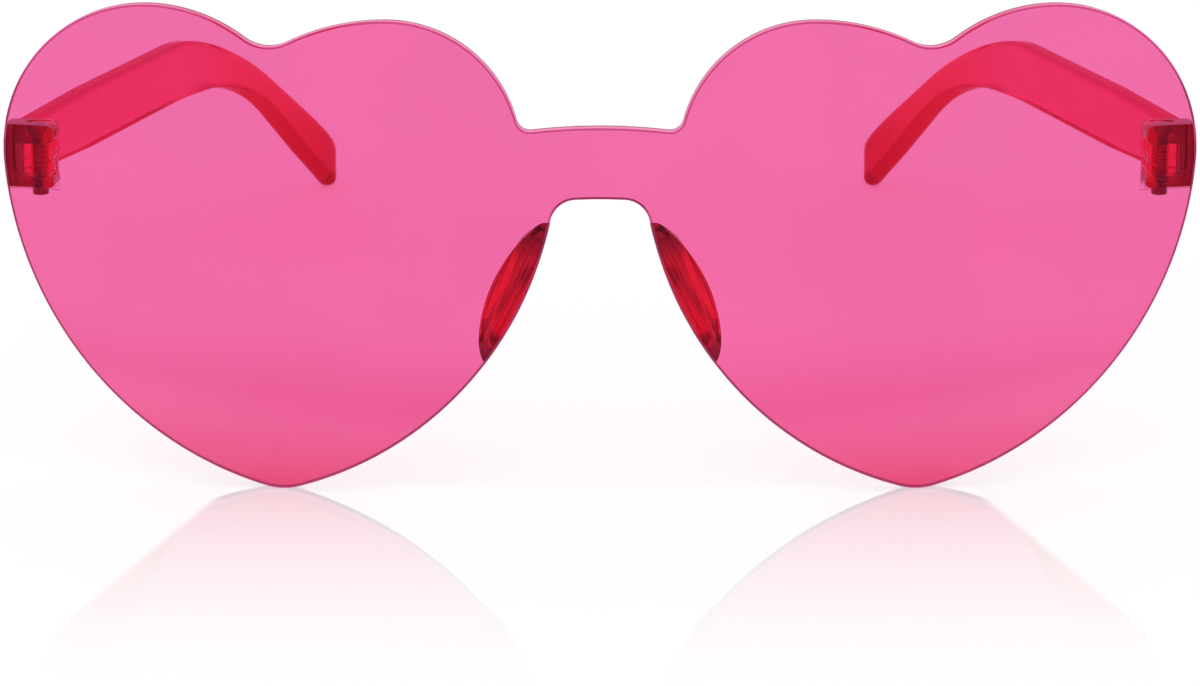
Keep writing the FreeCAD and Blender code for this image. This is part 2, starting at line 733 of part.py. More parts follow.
def make_nose_pad(name, side):
    """A half-moon fin on the shield's back along the nose edge, splayed away from the nose."""
    body = new_body(f"nose_pad_{name}")
    nose_centre = next(arc[2] for arc in heart_arcs() if arc[0] == "nose")
    pad_z = nose_arch_top.value - dim.pad_drop.value
    edge_rise = nose_centre.y - pad_z
    edge_run = math.sqrt(dim.nose_side_radius.value ** 2 - edge_rise ** 2)
    edge_point = FreeCAD.Vector(side * (nose_centre.x - edge_run), pad_z, 0)
    tilt = math.degrees(math.atan2(edge_rise, edge_run))

    sections = []
    tables = zip(PAD_DEPTH_SHARES, PAD_LENGTH_SHARES, PAD_SPLAY_SHARES,
                 PAD_THICKNESS_SHARES, PAD_END_SHARES)
    for index, (depth, length, splay, thickness, end) in enumerate(tables):
        section = sketch_on(body, f"section_{index}", "XZ_Plane")
        section.AttachmentOffset = FreeCAD.Placement(
            edge_point, FreeCAD.Rotation(FreeCAD.Vector(0, 0, 1), side * tilt))
        place = dim.lens_thickness - dim.pad_root + (dim.pad_root + dim.pad_depth) * depth
        section.setExpression(".AttachmentOffset.Base.z", (-place).text)
        half = dim.pad_length * (length / 2)
        nose_x = dim.pad_inset + dim.pad_splay * splay
        nose_bow = dim.nose_side_radius - root(dim.nose_side_radius * dim.nose_side_radius - half * half)
        end_size = dim.pad_end_thickness * end
        outer_bow = dim.pad_thickness * thickness - nose_bow - end_size
        outer_radius = (half * half + outer_bow * outer_bow) / (outer_bow * 2)
        near = side * (nose_x + nose_bow)
        far = side * (nose_x + nose_bow + end_size)
        draw_loop(section, [
            (near, -half, -side, dim.nose_side_radius),
            (near, half),
            (far, half, -side, outer_radius),
            (far, -half),
        ])
        sections.append(section)
    fin = body.newObject("PartDesign::AdditiveLoft", f"{body.Label}_fin")
    fin.Profile = sections[0]
    fin.Sections = sections[1:]
    doc.recompute()

    waste = sketch_on(body, "front", "XY_Plane")
    waste_half = dim.lens_width / 2
    draw_loop(waste, [
        (-waste_half, surface_y(lens_back_radius, waste_half), 1, lens_back_radius),
        (waste_half, surface_y(lens_back_radius, waste_half)),
        (waste_half, -dim.overrun),
        (-waste_half, -dim.overrun),
    ])
    pocket(body, waste)
    return body


# Standing on the ground

def lean_angle():
    """Degrees of lean at which the heart tips and the temple tips touch the same level."""
    at = FreeCAD.Vector
    under = at(0, tangent(ear_under_angle).value, 1).normalize()
    behind = at(0, -1, 0)
    ear_round = dim.ear_bottom_round.value
    ear = at(0, ear_reach.value, ear_bottom.value) + (under + behind) * (ear_round / (1 + under.dot(behind)))
    ear += at(0, hinge_y.value, hinge_z.value)
    edge_radius = lens_back_radius + dim.lens_edge_chamfer
    heart = at(0, surface_y(edge_radius, dim.heart_tip_offset).value, 0)
    way = ear - heart
    reach = math.hypot(way.y, way.z)
    return math.degrees(math.atan2(way.z, way.y) - math.asin(ear_round / reach))


def stand_up(bodies):
    """Lean every piece back by the same angle and set the whole on the ground, centred in X and Y."""
    lean = FreeCAD.Rotation(FreeCAD.Vector(1, 0, 0), -lean_angle())
    hinge = FreeCAD.Vector(hinge_x.value, hinge_y.value, hinge_z.value)
    starts = {}
    for body in bodies:
        side = next((value for name, value in SIDES.items() if body.Label.endswith(name)), 0)
        at_hinge = body.Label.startswith(("hinge", "temple"))
        starts[body] = FreeCAD.Vector(side * hinge.x, hinge.y, hinge.z) if at_hinge else FreeCAD.Vector()
        body.Placement = FreeCAD.Placement(lean.multVec(starts[body]), lean)
    box = FreeCAD.BoundBox()
    for body in bodies:
        box.add(body.Shape.optimalBoundingBox(False))
    middle = FreeCAD.Vector(0, box.Center.y, box.ZMin)
    for body in bodies:
        body.Placement = FreeCAD.Placement(lean.multVec(starts[body]) - middle, lean)
    print("lean", round(lean_angle(), 3), "box", box.XLength, box.YLength, box.ZLength)


def check_and_write(bodies):
    for item in doc.Objects:
        if "Invalid" in item.State or "Error" in item.State:
            raise RuntimeError(f"{item.Label} failed: {item.State}")
    for body in bodies:
        if body.Shape.isNull() or not body.Shape.isValid() or len(body.Shape.Solids) != 1:
            raise RuntimeError(f"{body.Label} is not one valid solid")
    os.makedirs("parts", exist_ok=True)
    for body in bodies:
        body.Shape.exportStep(f"parts/{body.Label}.step")
        print(body.Label, round(body.Shape.Volume, 2))


def main():
    bodies = [make_lens()]
    for name, side in SIDES.items():
        bodies.append(make_glue(name, side))
        bodies.append(make_block(name, side))
        bodies.append(make_screw(name))
        bodies.append(make_temple(name, side))
        bodies.append(make_nose_pad(name, side))
    stand_up(bodies)
    doc.recompute()
    check_and_write(bodies)


main()
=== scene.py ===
"""Heart shaped sunglasses: a tinted shield on two hinged temples, standing open on a white table."""
import json
import math

import bmesh
import bpy
import numpy as np
from mathutils import Matrix, Vector
from mathutils.geometry import delaunay_2d_cdt
from mathutils.kdtree import KDTree


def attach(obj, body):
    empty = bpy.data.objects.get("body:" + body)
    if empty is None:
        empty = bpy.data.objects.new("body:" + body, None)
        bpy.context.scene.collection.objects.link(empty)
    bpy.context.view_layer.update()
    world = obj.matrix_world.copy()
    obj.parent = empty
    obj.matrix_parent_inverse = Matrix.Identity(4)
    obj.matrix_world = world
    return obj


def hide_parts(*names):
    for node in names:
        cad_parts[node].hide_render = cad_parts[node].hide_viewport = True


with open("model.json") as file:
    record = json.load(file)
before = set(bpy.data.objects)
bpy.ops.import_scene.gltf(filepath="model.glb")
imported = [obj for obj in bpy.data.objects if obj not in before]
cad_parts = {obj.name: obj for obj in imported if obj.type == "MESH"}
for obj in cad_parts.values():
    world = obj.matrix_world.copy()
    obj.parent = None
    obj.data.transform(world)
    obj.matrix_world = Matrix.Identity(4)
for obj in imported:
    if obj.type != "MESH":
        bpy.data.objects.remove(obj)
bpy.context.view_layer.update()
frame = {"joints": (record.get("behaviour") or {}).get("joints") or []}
SIDES = {"left": 1, "right": -1}

# Sizes in millimetres, on the glasses as worn: X across, Y back from the shield's front, Z up from the
# heart tips. The hinge axis ties them to the frame, in which the glasses lean back on their tips.

HINGE = Vector((70.8, 16.62958, 40.7))
fold = next(joint for joint in frame["joints"] if joint["name"] == "left_fold")
AXIS = Vector(fold["axis"])
LEAN = Matrix(((1, 0, 0), (0, AXIS.z, AXIS.y), (0, -AXIS.y, AXIS.z))).to_4x4()
TO_FRAME = (Matrix.Translation(fold["pos_m"]) @ LEAN @ Matrix.Scale(0.001, 4)
            @ Matrix.Translation(-HINGE))
SHARP_ANGLE = 38
MERGE_DISTANCE = 1e-5
BAR_STEPS = 48
SQUARE = ((-1, -1), (1, -1), (1, 1), (-1, 1))

SHIELD_HEIGHT = 60.6
SHIELD_CURVE = 250.0
SHIELD_THICKNESS = 2.2
BRIDGE_TOP = 46.1
CROWN_RADIUS = 71.0
BRIDGE_CORNER_RADIUS = 1.6
INNER_LOBE_OFFSET = 26.1
INNER_LOBE_TOP = 59.0
INNER_LOBE_INNER_RADIUS = 16.5
INNER_LOBE_OUTER_RADIUS = 28.4
CLEFT_RADIUS = 5.2
OUTER_LOBE_OFFSET = 56.0
OUTER_LOBE_INNER_RADIUS = 20.7
OUTER_LOBE_OUTER_RADIUS = 19.0
HEART_SIDE_RADIUS = 44.8
HEART_TIP_OFFSET = 39.9
HEART_TIP_RADIUS = 8.2
NOSE_SIDE_RADIUS = 45.0
NOSE_GAUGE = Vector((7.0, 30.7))
NOSE_CORNER_RADIUS = 3.2
NOSE_ARCH_TOP = 37.1
NOSE_ARCH_RADIUS = 60.0

FRONT_ROUND = 0.34
BACK_ROUND = 0.16
EDGE_INSET = 0.04
EDGE_STEPS = 6
EDGE_LINE = 1.0
CORNER_LINE_SHARE = 0.3
OUTLINE_STEP = 0.5
LEAST_ARC_STEPS = 6
FILL_STEP = 2.5
FILL_MARGIN = 1.4
FILL_HALF_WIDTH = 75
FILL_HEIGHT = 62

BED_REACH = 3.1
BED_TOP = 4.45
BED_BOTTOM = -3.9
BED_GAP = 0.01
BED_EDGE_BREAK = 0.03
SEAT_DEPTH = 0.22
SEAT_CLEARANCE = 0.03
SEAT_CUT_OUT = 77
SEAT_CUT_BACK = 18
SEAT_STEPS = 24

BLOCK_TOP = 4.1
BLOCK_BOTTOM = -3.8
BLOCK_STANDOFF = 0.07
BLOCK_STEPS = 16
BLOCK_EDGE_BREAK = 0.12
UPPER_EAR = 2.4
LOWER_EAR = 1.4
EAR_RADIUS = 2.4
EAR_CORNER = 0.9
LOWER_EAR_CORNER = LOWER_EAR * 0.45
CHEEK_REACH = 3.85
CHEEK_WALL = 1.3
CUT_MARGIN = 0.01
CUT_OVERRUN = 1
CUT_REACH = 8
BORE_REACH = 6
BORE_RADIUS = 1.04
HEAD_BORE_RADIUS = 1.6
HEAD_BORE_DEPTH = 1.25

# The screw's profile: radius and depth below the head's top, then radius and height from the hinge point
SHANK_RADIUS = 0.84
SCREW_HEAD = ((0, 0), (1.25, 0), (1.42, 0.06), (1.5, 0.2), (1.5, 1.02), (1.44, 1.1), (SHANK_RADIUS, 1.1))
SCREW_END = ((SHANK_RADIUS, -4.1), (1.0, -4.2), (1.02, -5.05), (0.9, -5.22), (0.6, -5.3), (0, -5.3))
SCREW_SINK = 0.15
SCREW_STEPS = 40
SEALER_TOP = -4.12
SLOT_HALF_LENGTH = 2
SLOT_HALF_WIDTH = 0.25
SLOT_DEPTH = 0.5

BEAD_ASIDE = 0.06
BEAD_OVER = 0.04
BEAD_BACK = 0.1
BEAD_UPPER_END = -0.4
BEAD_LOWER_END = -1.3
BEAD_SQUEEZE = 0.6
FROTH_X = -2.55
FROTH_WAVE = 0.25
FROTH_WINDING = 4.1
FROTH_TOP = 1.0
FROTH_BOTTOM = BLOCK_BOTTOM + 0.3
FROTH_STEPS = 24

KNUCKLE_RADIUS = 2.25
KNUCKLE_END_GAP = 0.1
KNUCKLE_STEPS = 32
PIVOT_RADIUS = BORE_RADIUS + 0.02
GUSSET_REACH = 8.0
ARM_BUTT = EAR_RADIUS + 0.2
BUTT_ROUND = 0.3
ARM_OUTER = 3.5
ARM_THICKNESS = 3.1
ARM_ROOT_TOP = 4.1
ARM_ROOT_BOTTOM = -2.8
ARM_EDGE_ROUND = 0.95
ARM_SWELL = 0.55
SWELL_RUN = 24
UNDER_SWELL_FADE = (84, 106)
BEND_REACH = 89.6
BEND_TOP = 5.75
BEND_RADIUS = 62.0
UNDER_BEND_REACH = 97.4
UNDER_BEND_BOTTOM = -1.7
UNDER_BEND_RADIUS = 36.0
PLAN_BEND_REACH = 83.9
PLAN_BEND_RADIUS = 110.0
TOE_IN = math.radians(8.1)
EAR_INWARD = math.radians(22.3)
EAR_DROP = math.radians(30.6)
EAR_UNDER_DROP = math.radians(37.1)
EAR_REACH = 128.1
EAR_TOP_ROUND = 6.6
EAR_BOTTOM_ROUND = 2.0
EAR_EXTRA_ROUND = 0.5
EAR_ROUND_RUN = (EAR_REACH - 12, EAR_REACH - 3)
# Painted shade on the temples: the arm's top is darker, and over this run the darker band moves to the ear's
# underside; the top band is this share as strong
PAINTED_SHADE_SHIFT_RUN = (74, 98)
TOP_PAINTED_SHADE = 0.6
TIP_INNER_RUN = 7.0
TIP_INNER_DEPTH = 2.4
TIP_OUTER_RUN = 2.0
TIP_OUTER_DEPTH = ARM_THICKNESS - TIP_INNER_DEPTH - 0.1
STRAIGHT_RUN = (4.0, 79.0)
STRAIGHT_STEP = 2.0
BEND_STEP = 0.6
END_RUN = 7.2
END_STEPS = 28
BUTT_STEPS = 4

PAD_HEIGHT = 24.7
PAD_LENGTH = 19.3
PAD_THICKNESS = 4.4
PAD_END_THICKNESS = 0.9
PAD_SPLAY = 2.5
PAD_SPLAY_POWER = 1.4
PAD_INSET = -0.02
PAD_GAP = 0.02
PAD_BACK = 9.0
PAD_EDGE_SHARE = 0.84
PAD_SHORTENING = 0.68
PAD_SHORTENING_POWER = 1.4
PAD_THINNING = 0.7
PAD_THINNING_POWER = 1.15
PAD_END_THINNING = 0.4
PAD_LEAST_BOW = 0.3
PAD_UPPER_SQUARENESS = 40
PAD_LOWER_SQUARENESS = 12
PAD_EVEN_SHARE = 0.8
PAD_STEPS = 10
PAD_ROWS = 28


# Points and meshes: every piece is made in millimetres as worn and set into the frame at the end

def steps_between(first, last, count):
    """Even steps from the first value to the last."""
    return [first + (last - first) * k / count for k in range(count + 1)]


def quarter_turn(count):
    """Even steps from 0 to a right angle."""
    return [math.pi / 2 * k / count for k in range(count + 1)]


def circle(radius, count):
    """Points round a circle, as (x, y)."""
    turns = [2 * math.pi * k / count for k in range(count)]
    return [(radius * math.cos(a), radius * math.sin(a)) for a in turns]


def round_corner(x, z, radius, start, steps=8):
    """Points round a corner, from a start angle in quarter turns, turning left."""
    turns = [math.pi / 2 * (start + k / steps) for k in range(steps + 1)]
    return [(x + radius * math.cos(a), z + radius * math.sin(a)) for a in turns]


def skin(rings, count):
    """The faces between neighbouring rings of so many points each."""
    return [(row * count + k, row * count + (k + 1) % count,
             (row + 1) * count + (k + 1) % count, (row + 1) * count + k)
            for row in range(rings - 1) for k in range(count)]


def place(name, data):
    """A new object in the scene."""
    thing = bpy.data.objects.new(name, data)
    bpy.context.scene.collection.objects.link(thing)
    return thing


def solid(name, points, faces):
    """A closed mesh from points and faces, its doubles merged and its faces turned outwards."""
    mesh = bpy.data.meshes.new(name)
    mesh.from_pydata(points, [], faces)
    work = bmesh.new()
    work.from_mesh(mesh)
    bmesh.ops.remove_doubles(work, verts=work.verts, dist=MERGE_DISTANCE)
    bmesh.ops.dissolve_degenerate(work, edges=work.edges, dist=MERGE_DISTANCE)
    bmesh.ops.recalc_face_normals(work, faces=work.faces)
    work.to_mesh(mesh)
    work.free()
    return place(name, mesh)


def settle(piece):
    """Work a piece's modifiers into its mesh."""
    graph = bpy.context.evaluated_depsgraph_get()
    mesh = bpy.data.meshes.new_from_object(piece.evaluated_get(graph))
    piece.modifiers.clear()
    piece.data = mesh


def work_with(piece, tool, how):
    """Cut a tool's shape out of a piece, or join it on, and put the tool away."""
    step = piece.modifiers.new(how.lower(), "BOOLEAN")
    step.operation = how
    step.solver = "EXACT"
    step.object = tool
    settle(piece)
    bpy.data.objects.remove(tool)


def prism(name, outline, low, high, upright=True):
    """An upright prism on an outline of (x, y) points, or one that lies back on (x, z) points."""
    count = len(outline)
    points = [(a, b, t) if upright else (a, t, b) for t in (low, high) for a, b in outline]
    return solid(name, points, [tuple(range(count)), tuple(range(count, 2 * count))] + skin(2, count))


def round_bar(name, radius, low, high):
    """An upright round bar on the hinge axis."""
    return prism(name, circle(radius, BAR_STEPS), low, high)


def soften(piece, width):
    """Break a piece's sharp edges by a small round."""
    step = piece.modifiers.new("edge_break", "BEVEL")
    step.width = width
    step.segments = 3
    step.limit_method = "ANGLE"
    step.angle_limit = math.radians(40)
    step.use_clamp_overlap = True
    settle(piece)


def mark(piece, name, points, marks):
    """Lay marks given at a piece's first points over its faces, as a UV map."""
    near = KDTree(len(points))
    for k, spot in enumerate(points):
        near.insert(spot, k)
    near.balance()
    layer = piece.data.uv_layers.new(name=name)
    for loop in piece.data.loops:
        _, k, _ = near.find(piece.data.vertices[loop.vertex_index].co)
        layer.data[loop.index].uv = marks[k]


def smooth(piece, finish, sharp=SHARP_ANGLE):
    """Give a piece its finish and shade it smooth between its sharp edges."""
    mesh = piece.data
    mesh.shade_smooth()
    mesh.set_sharp_from_angle(angle=math.radians(sharp))
    step = piece.modifiers.new("even_shading", "WEIGHTED_NORMAL")
    step.weight = 90
    step.keep_sharp = True
    settle(piece)
    piece.data.materials.clear()
    piece.data.materials.append(finish)


def set_down(piece, body, nodes, centre=None):
    """Put a finished piece into the frame and hang it on its body in place of its solids."""
    if centre is not None:
        piece.data.transform(Matrix.Translation(centre))
    piece.data.transform(TO_FRAME)
    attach(piece, body)
    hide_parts(*nodes)


def hinge_of(side):
    """The point on a side's hinge axis from which its block, screw, glue and temple are drawn."""
    return Vector((side * HINGE.x, HINGE.y, HINGE.z))


# Node trees

def plug(tree, socket, value):
    """Set an input to a value, or link it to another node's output."""
    if isinstance(value, bpy.types.NodeSocket):
        tree.links.new(value, socket)
    else:
        socket.default_value = value


def add_node(tree, kind, settings=None, **inputs):
    """A node with its settings; an input is a value or another node's output."""
    node = tree.nodes.new(kind)
    for name, value in (settings or {}).items():
        setattr(node, name, value)
    for name, value in inputs.items():
        plug(tree, node.inputs[name.replace("_", " ")], value)
    return node


def worked(tree, operation, *values):
    """The result of a sum on some values."""
    node = add_node(tree, "ShaderNodeMath", {"operation": operation})
    for socket, value in zip(node.inputs, values):
        plug(tree, socket, value)
    return node.outputs[0]


def scaled(tree, vector, scale):
    """A vector times a number."""
    return add_node(tree, "ShaderNodeVectorMath", {"operation": "SCALE"},
                    Vector=vector, Scale=scale).outputs["Vector"]


def bare_tree(holder):
    """The emptied node tree of a material or a world."""
    holder.use_nodes = True
    holder.node_tree.nodes.clear()
    return holder.node_tree


def add_inputs(tree, sizes):
    """Geometry in, geometry out, a material and named sizes between."""
    face = tree.interface
    face.new_socket("Geometry", in_out="INPUT", socket_type="NodeSocketGeometry")
    for name, value in sizes.items():
        face.new_socket(name, in_out="INPUT", socket_type="NodeSocketFloat").default_value = value
    face.new_socket("Finish", in_out="INPUT", socket_type="NodeSocketMaterial")
    face.new_socket("Geometry", in_out="OUTPUT", socket_type="NodeSocketGeometry")
    return tree.nodes.new("NodeGroupInput").outputs


def hand_out(tree, parts, finish):
    """Join a tree's parts, give them their finish and hand them out."""
    both = tree.nodes.new("GeometryNodeJoinGeometry")
    for part in parts:
        tree.links.new(part, both.inputs["Geometry"])
    real = add_node(tree, "GeometryNodeRealizeInstances", Geometry=both.outputs["Geometry"])
    coat = add_node(tree, "GeometryNodeSetMaterial", Geometry=real.outputs["Geometry"], Material=finish)
    add_node(tree, "NodeGroupOutput", Geometry=coat.outputs["Geometry"])


def set_inputs(piece, tree, values):
    """Put a node tree on a piece with these named inputs."""
    step = piece.modifiers.new(tree.name, "NODES")
    step.node_group = tree
    for item in tree.interface.items_tree:
        if item.item_type == "SOCKET" and item.in_out == "INPUT" and item.name in values:
            step[item.identifier] = values[item.name]
    settle(piece)


# Shield

def shield_y(x, depth=0.0):
    """How far back the curved shield lies at x, at a depth below its front face."""
    return SHIELD_CURVE - math.sqrt((SHIELD_CURVE - depth) ** 2 - x * x)


def circles_meet(first, first_radius, second, second_radius, side):
    """The point at these distances from two centres, left (1) or right (-1) of the way across."""
    across = second - first
    along = (first_radius ** 2 - second_radius ** 2 + across.length_squared) / (2 * across.length)
    rise = math.sqrt(first_radius ** 2 - along ** 2)
    step = across.normalized()
    return first + step * along + Vector((-step.y, step.x)) * rise * side


def heart_arcs():
    """The arcs of one heart from the bridge's top round to the nose arch, each tangent to the next:
    radius, centre and turn, -1 where the shield bulges out and 1 where it is hollow."""
    crown = Vector((0, BRIDGE_TOP - CROWN_RADIUS))
    inner_inside = Vector((INNER_LOBE_OFFSET, INNER_LOBE_TOP - INNER_LOBE_INNER_RADIUS))
    inner_outside = Vector((INNER_LOBE_OFFSET, INNER_LOBE_TOP - INNER_LOBE_OUTER_RADIUS))
    outer_inside = Vector((OUTER_LOBE_OFFSET, SHIELD_HEIGHT - OUTER_LOBE_INNER_RADIUS))
    outer_outside = Vector((OUTER_LOBE_OFFSET, SHIELD_HEIGHT - OUTER_LOBE_OUTER_RADIUS))
    tip = Vector((HEART_TIP_OFFSET, HEART_TIP_RADIUS))
    arch = Vector((0, NOSE_ARCH_TOP - NOSE_ARCH_RADIUS))
    corner = circles_meet(crown, CROWN_RADIUS + BRIDGE_CORNER_RADIUS,
                          inner_inside, INNER_LOBE_INNER_RADIUS + BRIDGE_CORNER_RADIUS, 1)
    cleft = circles_meet(inner_outside, INNER_LOBE_OUTER_RADIUS + CLEFT_RADIUS,
                         outer_inside, OUTER_LOBE_INNER_RADIUS + CLEFT_RADIUS, 1)
    flank = circles_meet(outer_outside, HEART_SIDE_RADIUS - OUTER_LOBE_OUTER_RADIUS,
                         tip, HEART_SIDE_RADIUS - HEART_TIP_RADIUS, -1)
    nose = circles_meet(NOSE_GAUGE, NOSE_SIDE_RADIUS, tip, NOSE_SIDE_RADIUS - HEART_TIP_RADIUS, 1)
    nook = circles_meet(arch, NOSE_ARCH_RADIUS - NOSE_CORNER_RADIUS,
                        nose, NOSE_SIDE_RADIUS + NOSE_CORNER_RADIUS, 1)
    return {
        "crown": (CROWN_RADIUS, crown, -1),
        "corner": (BRIDGE_CORNER_RADIUS, corner, 1),
        "inner_inside": (INNER_LOBE_INNER_RADIUS, inner_inside, -1),
        "inner_outside": (INNER_LOBE_OUTER_RADIUS, inner_outside, -1),
        "cleft": (CLEFT_RADIUS, cleft, 1),
        "outer_inside": (OUTER_LOBE_INNER_RADIUS, outer_inside, -1),
        "outer_outside": (OUTER_LOBE_OUTER_RADIUS, outer_outside, -1),
        "flank": (HEART_SIDE_RADIUS, flank, -1),
        "tip": (HEART_TIP_RADIUS, tip, -1),
        "nose": (NOSE_SIDE_RADIUS, nose, -1),
        "nook": (NOSE_CORNER_RADIUS, nook, 1),
        "arch": (NOSE_ARCH_RADIUS, arch, 1),
    }


def touch(first, second):
    """Where two neighbouring arcs of the outline meet."""
    (radius, centre, turn), (next_radius, next_centre, next_turn) = first, second
    way = (next_centre - centre).normalized()
    return centre + way * (radius if turn != next_turn or radius > next_radius else -radius)


def heart_loop():
    """Points round both hearts with the way out of the shield at each."""
    arcs = list(heart_arcs().values())
    stops = [Vector((0, BRIDGE_TOP))] + [touch(a, b) for a, b in zip(arcs, arcs[1:])]
    stops.append(Vector((0, NOSE_ARCH_TOP)))
    half = []
    for (radius, centre, turn), start, stop in zip(arcs, stops, stops[1:]):
        first = math.atan2(start.y - centre.y, start.x - centre.x)
        last = math.atan2(stop.y - centre.y, stop.x - centre.x)
        sweep = (last - first) * turn % (2 * math.pi) * turn
        count = max(LEAST_ARC_STEPS, math.ceil(abs(sweep) * radius / OUTLINE_STEP))
        for k in range(count):
            way = Vector((math.cos(first + sweep * k / count), math.sin(first + sweep * k / count)))
            half.append((centre + way * radius, way * -turn))
    half.append((stops[-1], Vector((0, -1))))
    flip = Vector((-1, 1))
    return half + [(spot * flip, way * flip) for spot, way in reversed(half[1:-1])]


def edge_profile():
    """The rounded edge from the front face to the back, as (inset from the outline, depth)."""
    front, back = ([(EDGE_INSET + size * (1 - math.sin(a)), size * (1 - math.cos(a)))
                    for a in quarter_turn(EDGE_STEPS)] for size in (FRONT_ROUND, BACK_ROUND))
    return front + [(inset, SHIELD_THICKNESS - depth)
                    for inset, depth in [(EDGE_INSET, BACK_ROUND + EDGE_LINE)] + back[::-1]]


def fill_rim(rim):
    """Even points inside a closed rim, and the triangles over the rim and those points."""
    line = np.array([tuple(spot) for spot in rim])
    after = np.roll(line, -1, axis=0)
    across = np.arange(-FILL_HALF_WIDTH, FILL_HALF_WIDTH, FILL_STEP)
    inside = []
    for row, z in enumerate(np.arange(0, FILL_HEIGHT, FILL_STEP)):
        for x in across + FILL_STEP / 2 * (row % 2):
            crosses = (line[:, 1] > z) != (after[:, 1] > z)
            rise = np.where(crosses, after[:, 1] - line[:, 1], 1)
            at = line[:, 0] + (z - line[:, 1]) * (after[:, 0] - line[:, 0]) / rise
            near = np.hypot(line[:, 0] - x, line[:, 1] - z).min()
            if np.count_nonzero(crosses & (at > x)) % 2 and near > FILL_MARGIN:
                inside.append(Vector((x, z)))
    inside_only, merge = 1, 1e-7
    _, _, triangles, origin, _, _ = delaunay_2d_cdt(
        list(rim) + inside, [], [list(range(len(rim)))], inside_only, merge)
    return inside, [tuple(origin[k][0] for k in triangle) for triangle in triangles]


def finish_shield(shield, finishes):
    """Clear faces, a satin cut edge between a front corner line and a back line, which are painted shade
    along the rim, and faces shaded as true curves."""
    mesh = shield.data
    mesh.shade_smooth()
    mesh.set_sharp_from_angle(angle=math.radians(SHARP_ANGLE))
    mesh.materials.clear()
    for finish in finishes:
        mesh.materials.append(finish)
    face, edge, corner, back_line = range(len(finishes))
    near, back = 0.01, SHIELD_THICKNESS
    ways = []
    for polygon in mesh.polygons:
        spots = [mesh.vertices[k].co for k in polygon.vertices]
        depths = [SHIELD_CURVE - math.hypot(spot.x, SHIELD_CURVE - spot.y) for spot in spots]
        low, high = min(depths), max(depths)
        polygon.material_index = face
        # Painted shade: the corner line on the front round and the back line over the back of the edge are
        # dark tints standing in for the rim's shade
        if near < high < FRONT_ROUND * CORNER_LINE_SHARE + near:
            polygon.material_index = corner
        elif back - BACK_ROUND - near < low < back - near:
            polygon.material_index = back_line
        elif high > near and low < back - SEAT_DEPTH - near:
            behind = low > back - BACK_ROUND - EDGE_LINE - near
            polygon.material_index = back_line if behind else edge
        turn = 1 if high < near else -1 if low > back - near else 0
        ways += [Vector((spot.x, spot.y - SHIELD_CURVE, 0)).normalized() * turn for spot in spots]
    mesh.normals_split_custom_set(ways)


def make_shield(finishes):
    """A curved sheet cut to both hearts, round on every edge, with a seat for each hinge block."""
    loop = heart_loop()
    count = len(loop)
    points = []
    for inset, depth in edge_profile():
        for spot, way in loop:
            x, z = spot - way * inset
            points.append((x, shield_y(x, depth), z))
    rings = len(points) // count
    faces = skin(rings, count)
    for ring, depth in ((0, 0.0), (rings - 1, SHIELD_THICKNESS)):
        first, start = ring * count, len(points)
        rim = [Vector((points[first + k][0], points[first + k][2])) for k in range(count)]
        inside, triangles = fill_rim(rim)
        points += [(x, shield_y(x, depth), z) for x, z in inside]
        faces += [tuple(first + k if k < count else start + k - count for k in triangle)
                  for triangle in triangles]
    shield = solid("shield", points, faces)
    inner = HINGE.x - BED_REACH - SEAT_CLEARANCE
    low, high = HINGE.z + BED_BOTTOM - SEAT_CLEARANCE, HINGE.z + BED_TOP + SEAT_CLEARANCE
    for side in SIDES.values():
        outline = [(side * x, shield_y(x, SHIELD_THICKNESS - SEAT_DEPTH))
                   for x in steps_between(inner, SEAT_CUT_OUT, SEAT_STEPS)]
        outline += [(side * SEAT_CUT_OUT, SEAT_CUT_BACK), (side * inner, SEAT_CUT_BACK)]
        work_with(shield, prism("seat", outline, low, high), "DIFFERENCE")
    finish_shield(shield, finishes)
    set_down(shield, "front", ["lens_shield"])


# Hinge blocks: drawn from a point on the hinge axis

def hinge_y(depth, x):
    """The shield's curve at a depth below its front face, from the hinge axis."""
    return shield_y(HINGE.x + x, depth) - HINGE.y


def ear_end(end, top, bottom, radius):
    """The free end of an ear with both corners round, from its top to its bottom, as (x, z)."""
    return (round_corner(end + radius, top - radius, radius, 1)
            + round_corner(end + radius, bottom + radius, radius, 2))


